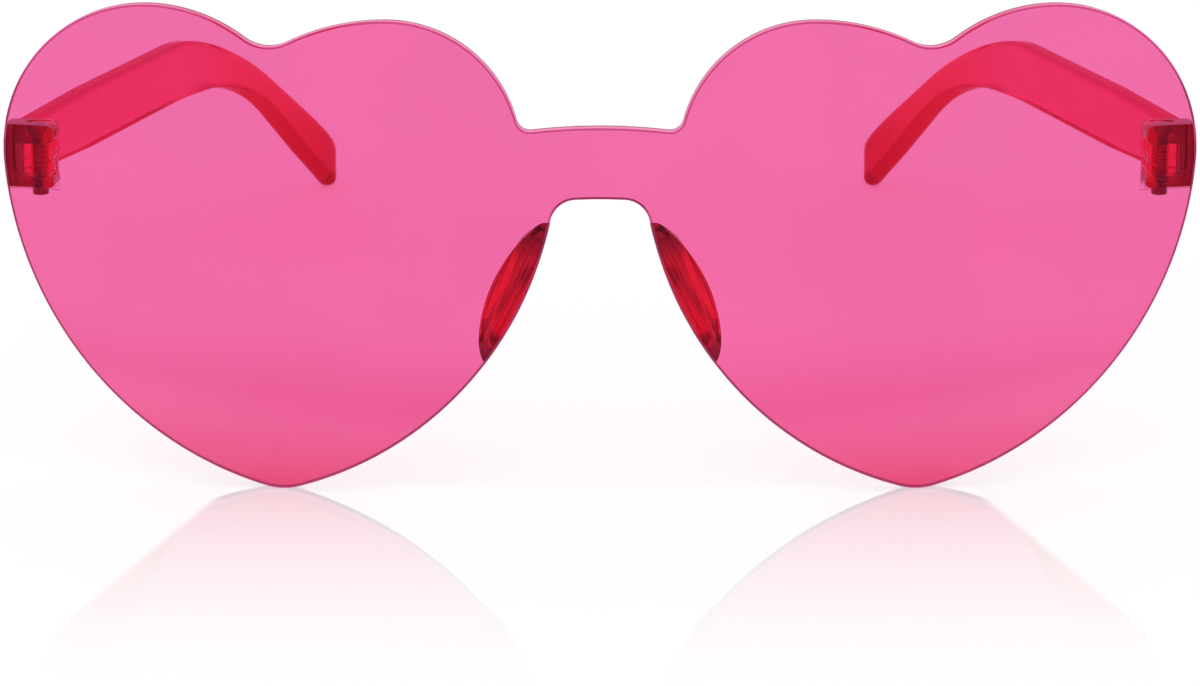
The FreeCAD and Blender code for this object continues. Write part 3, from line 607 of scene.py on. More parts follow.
def make_block(name, side, finish):
    """An upper and a lower ear on an outer cheek, curved to the shield and bored for the screw."""
    run = steps_between(-EAR_RADIUS, CHEEK_REACH, BLOCK_STEPS)
    plan = [(side * x, hinge_y(SHIELD_THICKNESS + BLOCK_STANDOFF, x)) for x in run]
    plan.append((side * CHEEK_REACH, EAR_RADIUS))
    plan += [(side * -EAR_RADIUS * math.sin(a), EAR_RADIUS * math.cos(a)) for a in quarter_turn(BLOCK_STEPS)]
    block = prism(f"hinge_block_{name}_clear", plan, BLOCK_BOTTOM, BLOCK_TOP)
    upper, lower = BLOCK_TOP - UPPER_EAR, BLOCK_BOTTOM + LOWER_EAR
    end, outside = -EAR_RADIUS - CUT_MARGIN, CHEEK_REACH + CUT_OVERRUN
    front = [(outside, BLOCK_TOP)] + ear_end(end, BLOCK_TOP, upper, EAR_CORNER)
    front += [(CHEEK_REACH - CHEEK_WALL, upper), (CHEEK_REACH - CHEEK_WALL, lower)]
    front += ear_end(end, lower, BLOCK_BOTTOM, LOWER_EAR_CORNER) + [(outside, BLOCK_BOTTOM)]
    ears = prism("ears", [(side * x, z) for x, z in front], -CUT_REACH, CUT_REACH, upright=False)
    work_with(block, ears, "INTERSECT")
    work_with(block, round_bar("bore", BORE_RADIUS, -BORE_REACH, BORE_REACH), "DIFFERENCE")
    head_bore = round_bar("head_bore", HEAD_BORE_RADIUS, BLOCK_TOP - HEAD_BORE_DEPTH, BORE_REACH)
    work_with(block, head_bore, "DIFFERENCE")
    soften(block, BLOCK_EDGE_BREAK)
    # Painted shade: the block darkens towards its outer cheek, by how far out each point lies
    spots = [vertex.co.copy() for vertex in block.data.vertices]
    width = CHEEK_REACH + EAR_RADIUS
    mark(block, "outward", spots, [((side * spot.x + EAR_RADIUS) / width, 0) for spot in spots])
    smooth(block, finish)
    set_down(block, "front", [f"hinge_block_{name}"], hinge_of(side))


# Hinge screws: a turned blank with a thread wound on it

def thread_tree():
    """Wind a pointed ridge round a screw blank, from a height up its shank."""
    tree = bpy.data.node_groups.new("screw_thread", "GeometryNodeTree")
    size = add_inputs(tree, {"Radius": SHANK_RADIUS, "Pitch": 0.46, "Turns": 14.0, "Ridge": 0.14,
                             "Start": -4.0})
    spiral = add_node(tree, "GeometryNodeCurveSpiral", Resolution=24, Rotations=size["Turns"],
                      Start_Radius=size["Radius"], End_Radius=size["Radius"],
                      Height=worked(tree, "MULTIPLY", size["Pitch"], size["Turns"]))
    ridge = add_node(tree, "GeometryNodeCurvePrimitiveCircle", Resolution=4, Radius=size["Ridge"])
    wind = add_node(tree, "GeometryNodeCurveToMesh", Curve=spiral.outputs["Curve"],
                    Profile_Curve=ridge.outputs["Curve"], Fill_Caps=True)
    start = add_node(tree, "ShaderNodeCombineXYZ", Z=size["Start"])
    lift = add_node(tree, "GeometryNodeTransform", Geometry=wind.outputs["Mesh"],
                    Translation=start.outputs["Vector"])
    hand_out(tree, [size["Geometry"], lift.outputs["Geometry"]], size["Finish"])
    return tree


def make_screw(name, side, finish, seal, thread):
    """A slotted head on a threaded shank, its end standing out under the block in a drop of sealer."""
    top = BLOCK_TOP - SCREW_SINK
    profile = [(radius, top - depth) for radius, depth in SCREW_HEAD] + list(SCREW_END)
    points = [(x, y, z) for radius, z in profile for x, y in circle(radius, SCREW_STEPS)]
    screw = solid(f"hinge_screw_{name}_steel", points, skin(len(profile), SCREW_STEPS))
    slot = prism("slot", [(a * SLOT_HALF_LENGTH, b * SLOT_HALF_WIDTH) for a, b in SQUARE],
                 top - SLOT_DEPTH, top + CUT_OVERRUN)
    work_with(screw, slot, "DIFFERENCE")
    set_inputs(screw, thread, {"Finish": finish})
    smooth(screw, finish, sharp=30)
    screw.data.materials.append(seal)
    for polygon in screw.data.polygons:
        polygon.material_index = int(polygon.center.z < SEALER_TOP)
    set_down(screw, "front", [f"hinge_screw_{name}"], hinge_of(side))


# Adhesive: a clear bed under each hinge block, with a bead and bubbles where it came out

def bead_tree():
    """An uneven bead along a path, fatter where the path says that more was squeezed out, with flat
    bubbles strewn beside it."""
    tree = bpy.data.node_groups.new("glue_bead", "GeometryNodeTree")
    size = add_inputs(tree, {"Radius": 0.02, "Unevenness": 0.05, "Grain": 3.0, "Step": 0.08, "Bubbles": 70.0,
                             "Bubble Size": 0.15, "Bubble Flatness": 0.7, "Bubble Spread": 0.42})
    path = add_node(tree, "GeometryNodeMeshToCurve", Mesh=size["Geometry"])
    even = add_node(tree, "GeometryNodeResampleCurve", {"mode": "LENGTH"}, Curve=path.outputs["Curve"],
                    Length=size["Step"]).outputs["Curve"]
    more = add_node(tree, "GeometryNodeInputNamedAttribute", {"data_type": "FLOAT"}, Name="squeeze")
    lumps = add_node(tree, "ShaderNodeTexNoise", Scale=size["Grain"])
    most = worked(tree, "MULTIPLY", size["Unevenness"], more.outputs["Attribute"])
    thick = worked(tree, "MULTIPLY_ADD", lumps.outputs["Fac"], most, size["Radius"])
    ring = add_node(tree, "GeometryNodeCurvePrimitiveCircle", Resolution=10, Radius=1.0)
    sweep = add_node(tree, "GeometryNodeCurveToMesh", Curve=even, Profile_Curve=ring.outputs["Curve"],
                     Scale=thick, Fill_Caps=True)
    spots = add_node(tree, "GeometryNodeCurveToPoints", {"mode": "COUNT"}, Curve=even, Count=size["Bubbles"])
    aside = add_node(tree, "FunctionNodeRandomValue", {"data_type": "FLOAT_VECTOR"},
                     Min=(-1, 0, -1), Max=(1, 0, 1), Seed=7)
    move = add_node(tree, "GeometryNodeSetPosition", Geometry=spots.outputs["Points"],
                    Offset=scaled(tree, aside.outputs["Value"], size["Bubble Spread"]))
    grow = add_node(tree, "FunctionNodeRandomValue", {"data_type": "FLOAT"}, Seed=3)
    smallest, largest = grow.inputs[2:4]
    smallest.default_value = 0.35
    largest.default_value = 1.0
    across = worked(tree, "MULTIPLY", grow.outputs[1], size["Bubble Size"])
    flat = add_node(tree, "ShaderNodeCombineXYZ", X=1.0, Y=size["Bubble Flatness"], Z=1.0)
    ball = add_node(tree, "GeometryNodeMeshIcoSphere", Subdivisions=2)
    bubbles = add_node(tree, "GeometryNodeInstanceOnPoints", Points=move.outputs["Geometry"],
                       Instance=ball.outputs["Mesh"], Scale=scaled(tree, flat.outputs["Vector"], across))
    hand_out(tree, [sweep.outputs["Mesh"], bubbles.outputs["Instances"]], size["Finish"])
    return tree


def glue_path(name, side, corners):
    """A path just behind the shield, through (x, z, squeeze) corners."""
    mesh = bpy.data.meshes.new(name)
    mesh.from_pydata([(side * x, hinge_y(SHIELD_THICKNESS + BEAD_BACK, x), z) for x, z, _ in corners],
                     [(k, k + 1) for k in range(len(corners) - 1)], [])
    squeeze = [squeezed for _, _, squeezed in corners]
    mesh.attributes.new("squeeze", "FLOAT", "POINT").data.foreach_set("value", squeeze)
    return place(name, mesh)


def make_glue(name, side, finish, tree):
    """A clear bed that fills the seat, the bead that rose round the upper ear, and bubbles beside."""
    run = steps_between(-BED_REACH, CHEEK_REACH, BLOCK_STEPS)
    outline = [(side * x, hinge_y(SHIELD_THICKNESS - SEAT_DEPTH + BED_GAP, x)) for x in run]
    outline += [(side * x, hinge_y(SHIELD_THICKNESS, x)) for x in reversed(run)]
    bed = prism(f"hinge_glue_{name}_bed", outline, BED_BOTTOM, BED_TOP)
    soften(bed, BED_EDGE_BREAK)
    top, low = BLOCK_TOP + BEAD_OVER, BLOCK_TOP - UPPER_EAR - BEAD_OVER
    ring = [(BEAD_UPPER_END, top)] + ear_end(-EAR_RADIUS - BEAD_ASIDE, top, low, EAR_CORNER)
    ring.append((BEAD_LOWER_END, low))
    bead = glue_path("bead", side, [(x, z, BEAD_SQUEEZE) for x, z in ring])
    set_inputs(bead, tree, {"Radius": 0.035, "Unevenness": 0.06, "Grain": 2.6, "Bubbles": 1.0,
                            "Bubble Size": 0.1, "Bubble Flatness": 0.4, "Bubble Spread": 0.3,
                            "Finish": finish})
    froth = glue_path("froth", side, [(FROTH_X - FROTH_WAVE * math.sin(FROTH_WINDING * z), z, 1.0)
                                      for z in np.linspace(FROTH_TOP, FROTH_BOTTOM, FROTH_STEPS)])
    set_inputs(froth, tree, {"Finish": finish})
    whole = bmesh.new()
    for part in (bed, bead, froth):
        whole.from_mesh(part.data)
    whole.to_mesh(bed.data)
    whole.free()
    for part in (bead, froth):
        bpy.data.objects.remove(part)
    smooth(bed, finish, sharp=50)
    set_down(bed, "front", [f"hinge_glue_{name}"], hinge_of(side))


# Temples: drawn from the hinge axis, open

def bent_run(start, corner, slope, radius):
    """A straight run to a corner and on at a new slope, the corner rounded: height along the run."""
    first = math.atan2(corner[1] - start[1], corner[0] - start[0])
    last = math.atan(slope)
    turn = 1 if last < first else -1
    cut = radius * math.tan(abs(last - first) / 2)
    leave, meet = corner[0] - cut * math.cos(first), corner[0] + cut * math.cos(last)
    centre_u = leave + turn * radius * math.sin(first)
    centre_v = corner[1] - cut * math.sin(first) - turn * radius * math.cos(first)

    def height(u):
        if u <= leave:
            return corner[1] + math.tan(first) * (u - corner[0])
        if u >= meet:
            return corner[1] + slope * (u - corner[0])
        return centre_v + turn * math.sqrt(radius ** 2 - (u - centre_u) ** 2)
    return height


def ear_corner(line, slope, radius, turn):
    """Round the ear end's upper (1) or lower (-1) corner: height along the run near the end."""
    centre_u = EAR_REACH - radius
    centre_v = line(centre_u) - turn * radius * math.sqrt(1 + slope ** 2)
    leave = centre_u - turn * radius * slope / math.sqrt(1 + slope ** 2)

    def height(u):
        if u <= leave:
            return line(u)
        return centre_v + turn * math.sqrt(max(0.0, radius ** 2 - (u - centre_u) ** 2))
    return height


def ease(value, start, stop):
    """0 before start, 1 past stop and smooth between."""
    share = min(1.0, max(0.0, (value - start) / (stop - start)))
    return share * share * (3 - 2 * share)


def swell(y):
    """How much the arm is taller than at its root, above and below."""
    return ARM_SWELL * min(1, (y - ARM_BUTT) / SWELL_RUN)


def arm_lines():
    """The arm's top and bottom in side view, and its outer and inner side in plan."""
    drop, under_drop = -math.tan(EAR_DROP), -math.tan(EAR_UNDER_DROP)
    top_run = bent_run((ARM_BUTT, ARM_ROOT_TOP), (BEND_REACH, BEND_TOP), drop, BEND_RADIUS)
    under_run = bent_run((ARM_BUTT, ARM_ROOT_BOTTOM), (UNDER_BEND_REACH, UNDER_BEND_BOTTOM), under_drop,
                         UNDER_BEND_RADIUS)
    top = ear_corner(lambda y: top_run(y) + swell(y), drop, EAR_TOP_ROUND, 1)
    under = ear_corner(lambda y: under_run(y) - swell(y) * (1 - ease(y, *UNDER_SWELL_FADE)), under_drop,
                       EAR_BOTTOM_ROUND, -1)
    bend = (PLAN_BEND_REACH, ARM_OUTER - (PLAN_BEND_REACH - ARM_BUTT) * math.tan(TOE_IN))
    half, mean = (EAR_INWARD - TOE_IN) / 2, (EAR_INWARD + TOE_IN) / 2
    shift = ARM_THICKNESS / math.cos(half)
    inner_bend = (bend[0] - shift * math.sin(mean), bend[1] - shift * math.cos(mean))
    inner_root = inner_bend[1] + (inner_bend[0] - ARM_BUTT) * math.tan(TOE_IN)
    slope = -math.tan(EAR_INWARD)
    outer = bent_run((ARM_BUTT, ARM_OUTER), bend, slope, PLAN_BEND_RADIUS + ARM_THICKNESS)
    inner = bent_run((ARM_BUTT, inner_root), inner_bend, slope, PLAN_BEND_RADIUS)
    return top, under, outer, inner


def tip_round(y, run, depth):
    """How far a side of the ear draws in towards its round tip."""
    past = min(1.0, max(0.0, 1 - (EAR_REACH - y) / run))
    return depth * (1 - math.sqrt(1 - past ** 2))


def round_section(low_x, high_x, low_z, high_z, radius, steps=13):
    """Points round a rectangle with round corners, in X and Z, each with how far it faces up."""
    most = 0.499
    radius = min(radius, (high_x - low_x) * most, (high_z - low_z) * most)
    corners = ((high_x - radius, high_z - radius), (low_x + radius, high_z - radius),
               (low_x + radius, low_z + radius), (high_x - radius, low_z + radius))
    loop = []
    for quarter, (x, z) in enumerate(corners):
        for k in range(steps):
            angle = math.pi / 2 * (quarter + k / (steps - 1))
            loop.append((x + radius * math.cos(angle), z + radius * math.sin(angle), math.sin(angle)))
    return loop


def arm_stations():
    """Where the arm's sections stand: close together at the butt, round the bend and at the ear's tip."""
    stations = [ARM_BUTT + BUTT_ROUND * (1 - math.cos(a)) for a in quarter_turn(BUTT_STEPS)]
    stations += list(np.arange(*STRAIGHT_RUN, STRAIGHT_STEP))
    stations += list(np.arange(STRAIGHT_RUN[1], EAR_REACH - END_RUN, BEND_STEP))
    return stations + [EAR_REACH - END_RUN * (1 - math.sin(a)) for a in quarter_turn(END_STEPS)]


def make_temple(name, side, finish):
    """A round-edged arm with a dropped, inward ear end, and a knuckle bored for the screw."""
    top, under, outer, inner = arm_lines()
    stations = arm_stations()
    points, marks = [], []
    for y in stations:
        before = max(0.0, ARM_BUTT + BUTT_ROUND - y)
        pinch = BUTT_ROUND - math.sqrt(max(0.0, BUTT_ROUND ** 2 - before ** 2))
        low_x = inner(y) + tip_round(y, TIP_INNER_RUN, TIP_INNER_DEPTH) + pinch
        high_x = outer(y) - tip_round(y, TIP_OUTER_RUN, TIP_OUTER_DEPTH) - pinch
        section = round_section(low_x, high_x, under(y) + pinch, top(y) - pinch,
                                ARM_EDGE_ROUND + EAR_EXTRA_ROUND * ease(y, *EAR_ROUND_RUN))
        points += [(side * x, y, z) for x, z, _ in section]
        # Painted shade: the arm's top and the ear's underside are marked darker in the UV's second coordinate
        ear = ease(y, *PAINTED_SHADE_SHIFT_RUN)
        marks += [(y / EAR_REACH, TOP_PAINTED_SHADE * max(0, up) * (1 - ear) + max(0, -up) * ear)
                  for _, _, up in section]
    count = len(points) // len(stations)
    ends = [tuple(range(count)), tuple(range(len(points) - count, len(points)))]
    temple = solid(f"temple_{name}_clear", points, skin(len(stations), count) + ends)
    mark(temple, "along_arm", points, marks)
    turns = [math.pi * k / KNUCKLE_STEPS for k in range(KNUCKLE_STEPS + 1)]
    knuckle = [(side * -KNUCKLE_RADIUS * math.cos(a), -KNUCKLE_RADIUS * math.sin(a)) for a in turns]
    knuckle += [(side * KNUCKLE_RADIUS, ARM_BUTT + ARM_THICKNESS / 2),
                (side * (inner(GUSSET_REACH) + ARM_THICKNESS / 4), GUSSET_REACH)]
    low = BLOCK_BOTTOM + LOWER_EAR + KNUCKLE_END_GAP
    high = BLOCK_TOP - UPPER_EAR - KNUCKLE_END_GAP
    work_with(temple, prism("knuckle", knuckle, low, high), "UNION")
    work_with(temple, round_bar("pivot", PIVOT_RADIUS, -BORE_REACH, BORE_REACH), "DIFFERENCE")
    smooth(temple, finish)
    set_down(temple, f"{name}_arm", [f"temple_{name}"], hinge_of(side))


# Nose pads

def pad_section(share, radius):
    """A pad's section at a share of its depth, as a loop of (way in from the nose edge, way along it):
    hollow to the nose edge's radius on one side, bowed on the other, and round at its ends."""
    half = PAD_LENGTH / 2 * math.sqrt(1 - PAD_SHORTENING * share ** PAD_SHORTENING_POWER)
    thick = PAD_THICKNESS * (1 - PAD_THINNING * share ** PAD_THINNING_POWER)
    end = PAD_END_THICKNESS * (1 - PAD_END_THINNING * share)
    bow = radius - math.sqrt(radius ** 2 - half ** 2)
    outer_bow = max(PAD_LEAST_BOW, thick - bow - end)
    outer_radius = (half ** 2 + outer_bow ** 2) / (2 * outer_bow)
    past = max(0.0, (share - PAD_EDGE_SHARE) / (1 - PAD_EDGE_SHARE))
    keep = math.sqrt(max(0.0, 1 - past ** 2))
    base = PAD_INSET + PAD_SPLAY * share ** PAD_SPLAY_POWER
    rows = []
    for k in range(PAD_ROWS + 1):
        v = -math.cos(math.pi * k / PAD_ROWS)
        inner = base + radius - math.sqrt(radius ** 2 - (v * half) ** 2)
        outer = base + thick - outer_radius + math.sqrt(outer_radius ** 2 - (v * half) ** 2)
        squareness = PAD_UPPER_SQUARENESS if v > 0 else PAD_LOWER_SQUARENESS
        width = (outer - inner) * (1 - abs(v) ** squareness) ** 0.5
        rows.append((inner + (1 - keep) * width / 2, inner + (1 + keep) * width / 2, v * half))
    return [(outer, b) for _, outer, b in rows] + [(inner, b) for inner, _, b in reversed(rows[1:-1])]


def make_pad(name, side, finish):
    """A half-moon fin on the shield's back along the nose edge, thinning to a round free edge."""
    radius, centre, _ = heart_arcs()["nose"]
    rise = centre.y - PAD_HEIGHT
    run = math.sqrt(radius ** 2 - rise ** 2)
    edge = Vector((centre.x - run, PAD_HEIGHT))
    into, along = Vector((run, rise)) / radius, Vector((-rise, run)) / radius
    sections = [k / PAD_STEPS * PAD_EVEN_SHARE for k in range(PAD_STEPS + 1)]
    sections += [1 - (1 - PAD_EVEN_SHARE) * (1 - math.sin(a)) for a in quarter_turn(PAD_STEPS)[1:]]
    points, marks = [], []
    for share in sections:
        for a, b in pad_section(share, radius):
            x, z = edge + into * a + along * b
            back = shield_y(x, SHIELD_THICKNESS) + PAD_GAP
            points.append((side * x, back + share * (PAD_BACK - back), z))
            marks.append((b / PAD_LENGTH + 0.5, a / PAD_THICKNESS))
    count = len(points) // len(sections)
    faces = skin(len(sections), count)
    for start in (0, len(points) - count):
        for k in range(PAD_ROWS):
            pair = (k, k + 1, (count - k - 1) % count, (count - k) % count)
            faces.append(tuple(dict.fromkeys(start + spot for spot in pair)))
    pad = solid(f"nose_pad_{name}_clear", points, faces)
    mark(pad, "along_pad", points, marks)
    smooth(pad, finish, sharp=60)
    set_down(pad, "front", [f"nose_pad_{name}"])


# Finishes: thicknesses and heights in metres, grain in marks to the metre

NOISE_LOW = 0.3
NOISE_HIGH = 0.7
FINE_GRAIN = 2600.0
RELIEF_HEIGHT = 0.00005
STREAK_STOPS = [(0.4, (0.25, 0.15, 0.15)), (0.5, (1, 1, 1))]
STREAK_SHIFT = 0.4
TURNING_GRAIN = (400.0, 400.0, 9000.0)
TURNING_HEIGHT = 0.00004


def ramp(tree, factor, stops, blend="LINEAR"):
    """A colour that follows a factor through (place, colour) stops."""
    node = add_node(tree, "ShaderNodeValToRGB", Fac=factor)
    node.color_ramp.interpolation = blend
    for spot, (at, colour) in zip(node.color_ramp.elements, stops[:2]):
        spot.position, spot.color = at, (*colour, 1)
    for at, colour in stops[2:]:
        node.color_ramp.elements.new(at).color = (*colour, 1)
    return node.outputs["Color"]


def spread_of(tree, value, low, high):
    """A noise's usual range spread from low to high."""
    return add_node(tree, "ShaderNodeMapRange", Value=value, From_Min=NOISE_LOW, From_Max=NOISE_HIGH,
                    To_Min=low, To_Max=high).outputs["Result"]


def times(tree, first, second):
    """Two colours multiplied."""
    node = add_node(tree, "ShaderNodeMix", {"data_type": "RGBA", "blend_type": "MULTIPLY"})
    factor, colours = node.inputs[0], node.inputs[6:8]
    factor.default_value = 1.0
    for socket, colour in zip(colours, (first, second)):
        tree.links.new(colour, socket)
    return node.outputs[2]


def mixed(tree, factor, first, second):
    """Two shaders mixed."""
    node = add_node(tree, "ShaderNodeMixShader", Fac=factor)
    tree.links.new(first, node.inputs[1])
    tree.links.new(second, node.inputs[2])
    return node.outputs["Shader"]


def clear_plastic(name, tint, gloss, relief, grain, wall=0, clear=1.0, face_share=0.5, bend=1.49, along=(),
                  streaks=None):
    """Tinted plastic that a wall of this thickness turns to the tint. A share of the tint lies on its
    faces and the rest in its depth, so thick places look deeper; a sheet, of no given wall, has all of
    it on its faces. What isn't clear is milky. Grain is the scale of its flow marks, bend its index of
    refraction, along shades it by (coordinates, axis, from, to, stops), mostly painted light and shade, and
    streaks line it by its UV."""
    material = bpy.data.materials.new(name)
    tree = bare_tree(material)
    face = [share ** (face_share if wall else 1) for share in tint]
    where = add_node(tree, "ShaderNodeTexCoord").outputs
    flow = add_node(tree, "ShaderNodeMapping", Vector=where["Object"], Scale=grain)
    marks = add_node(tree, "ShaderNodeTexNoise", Vector=flow.outputs["Vector"], Scale=1.0, Detail=3.0,
                     Roughness=0.55).outputs["Fac"]
    fine = add_node(tree, "ShaderNodeTexNoise", Vector=where["Object"], Scale=FINE_GRAIN, Detail=2.0)
    tone = ramp(tree, marks, [(NOISE_LOW, [c * 0.97 for c in face]),
                              (NOISE_HIGH, [min(1, c * 1.02) for c in face])])
    ragged = None
    if streaks:
        line = add_node(tree, "ShaderNodeMapping", Vector=where["UV"], Scale=streaks)
        lines = add_node(tree, "ShaderNodeTexNoise", Vector=line.outputs["Vector"], Scale=1.0, Detail=2.0,
                         Distortion=0.3).outputs["Fac"]
        tone = times(tree, tone, ramp(tree, lines, STREAK_STOPS))
        # The streaks also make the edges of the painted shade ragged
        ragged = worked(tree, "MULTIPLY", worked(tree, "SUBTRACT", lines, 0.5), STREAK_SHIFT)
    for source, axis, start, stop, stops in along:
        at = add_node(tree, "ShaderNodeSeparateXYZ", Vector=where[source]).outputs[axis]
        if ragged:
            at = worked(tree, "ADD", at, ragged)
        run = add_node(tree, "ShaderNodeMapRange", Value=at, From_Min=start, From_Max=stop)
        tone = times(tree, tone, ramp(tree, run.outputs["Result"], stops, "CARDINAL"))
    bump = add_node(tree, "ShaderNodeBump", Strength=relief, Distance=RELIEF_HEIGHT,
                    Height=fine.outputs["Fac"])
    body = add_node(tree, "ShaderNodeBsdfPrincipled", Base_Color=tone, IOR=bend, Transmission_Weight=clear,
                    Roughness=spread_of(tree, marks, gloss * 0.7, gloss * 1.3),
                    Normal=bump.outputs["Normal"])
    pale = add_node(tree, "ShaderNodeBsdfTransparent", Color=(*[share ** 0.5 for share in face], 1))
    path = add_node(tree, "ShaderNodeLightPath")
    whole = mixed(tree, path.outputs["Is Shadow Ray"], body.outputs["BSDF"], pale.outputs["BSDF"])
    out = add_node(tree, "ShaderNodeOutputMaterial", Surface=whole)
    if wall:
        takes = [(face_share - 1) * math.log(share) / wall for share in tint]
        depth = add_node(tree, "ShaderNodeVolumeAbsorption", Density=max(takes),
                         Color=(*[1 - take / max(takes) for take in takes], 1))
        tree.links.new(depth.outputs["Volume"], out.inputs["Volume"])
    return material


def turned_steel(name):
    """Burnished screw steel with fine turning lines, painted darker in their hollows as shade."""
    material = bpy.data.materials.new(name)
    tree = bare_tree(material)
    where = add_node(tree, "ShaderNodeTexCoord")
    rings = add_node(tree, "ShaderNodeMapping", Vector=where.outputs["Object"], Scale=TURNING_GRAIN)
    lines = add_node(tree, "ShaderNodeTexNoise", Vector=rings.outputs["Vector"], Scale=1.0,
                     Detail=4.0).outputs["Fac"]
    # Painted shade: the turning lines' hollows, low in the same noise as the bump, are darker
    tone = ramp(tree, lines, [(NOISE_LOW, (0.4, 0.36, 0.36)), (NOISE_HIGH, (0.85, 0.8, 0.79))])
    bump = add_node(tree, "ShaderNodeBump", Strength=0.25, Distance=TURNING_HEIGHT, Height=lines)
    body = add_node(tree, "ShaderNodeBsdfPrincipled", Base_Color=tone, Metallic=1.0,
                    Roughness=spread_of(tree, lines, 0.16, 0.34), Normal=bump.outputs["Normal"])
    add_node(tree, "ShaderNodeOutputMaterial", Surface=body.outputs["BSDF"])
    return material


# Table, light and camera: sizes in metres

WHITE = (1, 1, 1, 1)
TABLE_HALF_WIDTH = 4
TABLE_COLOUR = (0.36, 0.36, 0.36, 1)
TABLE_GLOW = 0.7
TABLE_FRONT = (-0.21, -0.14)
GLOSS_FADE = (-0.138, -0.0697)
GLOSS_FADE_POWER = 1.6
GLOSS_ONSET = (-0.072, -0.067)
GLOSS_HALF_WIDTH = 0.0465
GLOSS_WIDENING = 3.0
GLOSS_MOST = 0.36
GLOSS_ROUGHNESS = 0.03

ROOM_LIGHT = 0.7
DARK_END = 0.03
DARK_END_REACH = (-0.8, -0.4)
DARK_END_HEIGHT = (0.2, 0.5)
SOFTBOX_SIZE = (1.4, 1.0)
SOFTBOX_POWER = 4.0
SOFTBOX_PLACE = (-0.25, -0.1, 1.2)
SOFTBOX_TURN = (math.radians(-5), math.radians(-12), 0)

CAMERA_PITCH = math.radians(18.3125)
CAMERA_DISTANCE = 0.44806
CAMERA_AIM_Y = -0.07207
CAMERA_AIM_Z = 0.019865
FOCAL_LENGTH = 108.83
SENSOR_WIDTH = 36.0


def any_of(tree, *sockets):
    """The largest of some values."""
    largest = sockets[0]
    for socket in sockets[1:]:
        largest = worked(tree, "MAXIMUM", largest, socket)
    return largest


def slope_of(tree, value, start, stop, low=0.0, high=1.0):
    """Low before start, high past stop and smooth between."""
    return add_node(tree, "ShaderNodeMapRange", {"interpolation_type": "SMOOTHSTEP"}, Value=value,
                    From_Min=start, From_Max=stop, To_Min=low, To_Max=high).outputs["Result"]


def white_table():
    """A white table. Its gloss starts at the heart tips, widens and fades towards the front, and past the
    front of the picture it is white to the eye and through clear plastic, but dark in reflections."""
    material = bpy.data.materials.new("white_table")
    tree = bare_tree(material)
    path = add_node(tree, "ShaderNodeLightPath").outputs
    eye = any_of(tree, path["Is Camera Ray"], path["Is Transmission Ray"])
    shown = any_of(tree, eye, path["Is Glossy Ray"])
    where = add_node(tree, "ShaderNodeTexCoord")
    spot = add_node(tree, "ShaderNodeSeparateXYZ", Vector=where.outputs["Object"]).outputs
    lit = add_node(tree, "ShaderNodeBsdfDiffuse", Color=TABLE_COLOUR)
    glow = add_node(tree, "ShaderNodeEmission", Color=WHITE,
                    Strength=worked(tree, "MULTIPLY", shown, TABLE_GLOW))
    white = add_node(tree, "ShaderNodeAddShader")
    tree.links.new(lit.outputs["BSDF"], white.inputs[0])
    tree.links.new(glow.outputs["Emission"], white.inputs[1])
    front = add_node(tree, "ShaderNodeEmission", Color=WHITE, Strength=eye)
    top = mixed(tree, slope_of(tree, spot["Y"], *TABLE_FRONT), front.outputs["Emission"],
                white.outputs["Shader"])
    gloss = add_node(tree, "ShaderNodeBsdfGlossy", Color=WHITE, Roughness=GLOSS_ROUGHNESS)
    fade = add_node(tree, "ShaderNodeMapRange", Value=spot["Y"], From_Min=GLOSS_FADE[0],
                    From_Max=GLOSS_FADE[1])
    faded = worked(tree, "POWER", fade.outputs["Result"], GLOSS_FADE_POWER)
    wide = worked(tree, "SUBTRACT", worked(tree, "ABSOLUTE", spot["X"]), GLOSS_HALF_WIDTH)
    later = worked(tree, "MULTIPLY", worked(tree, "MAXIMUM", wide, 0.0), GLOSS_WIDENING)
    onset = slope_of(tree, worked(tree, "ADD", spot["Y"], later), *GLOSS_ONSET, GLOSS_MOST, 0.0)
    top = mixed(tree, worked(tree, "MULTIPLY", faded, onset), top, gloss.outputs["BSDF"])
    add_node(tree, "ShaderNodeOutputMaterial", Surface=top)
    mesh = bpy.data.meshes.new("white_table")
    corners = [(a * TABLE_HALF_WIDTH, b * TABLE_HALF_WIDTH, 0) for a, b in SQUARE]
    mesh.from_pydata(corners, [], [(0, 1, 2, 3)])
    mesh.materials.append(material)
    table = place("white_table", mesh)


def light_studio():
    """A white room, with a dark end low in front that only reflections show, and a softbox overhead."""
    world = bpy.data.worlds.new("white_studio")
    tree = bare_tree(world)
    path = add_node(tree, "ShaderNodeLightPath").outputs
    eye = any_of(tree, path["Is Camera Ray"], path["Is Transmission Ray"])
    where = add_node(tree, "ShaderNodeTexCoord")
    way = add_node(tree, "ShaderNodeSeparateXYZ", Vector=where.outputs["Generated"]).outputs
    room = any_of(tree, slope_of(tree, way["Y"], *DARK_END_REACH, DARK_END),
                  slope_of(tree, way["Z"], *DARK_END_HEIGHT, DARK_END))
    light = add_node(tree, "ShaderNodeMapRange", Value=path["Is Glossy Ray"], To_Min=ROOM_LIGHT, To_Max=room)
    strength = add_node(tree, "ShaderNodeMapRange", Value=eye, To_Min=light.outputs["Result"], To_Max=1.0)
    sky = add_node(tree, "ShaderNodeBackground", Color=WHITE, Strength=strength.outputs["Result"])
    add_node(tree, "ShaderNodeOutputWorld", Surface=sky.outputs["Background"])
    bpy.context.scene.world = world
    lamp = bpy.data.lights.new("overhead_softbox", "AREA")
    lamp.shape = "RECTANGLE"
    lamp.size, lamp.size_y = SOFTBOX_SIZE
    lamp.energy = SOFTBOX_POWER
    softbox = place("overhead_softbox", lamp)
    softbox.location = SOFTBOX_PLACE
    softbox.rotation_euler = SOFTBOX_TURN


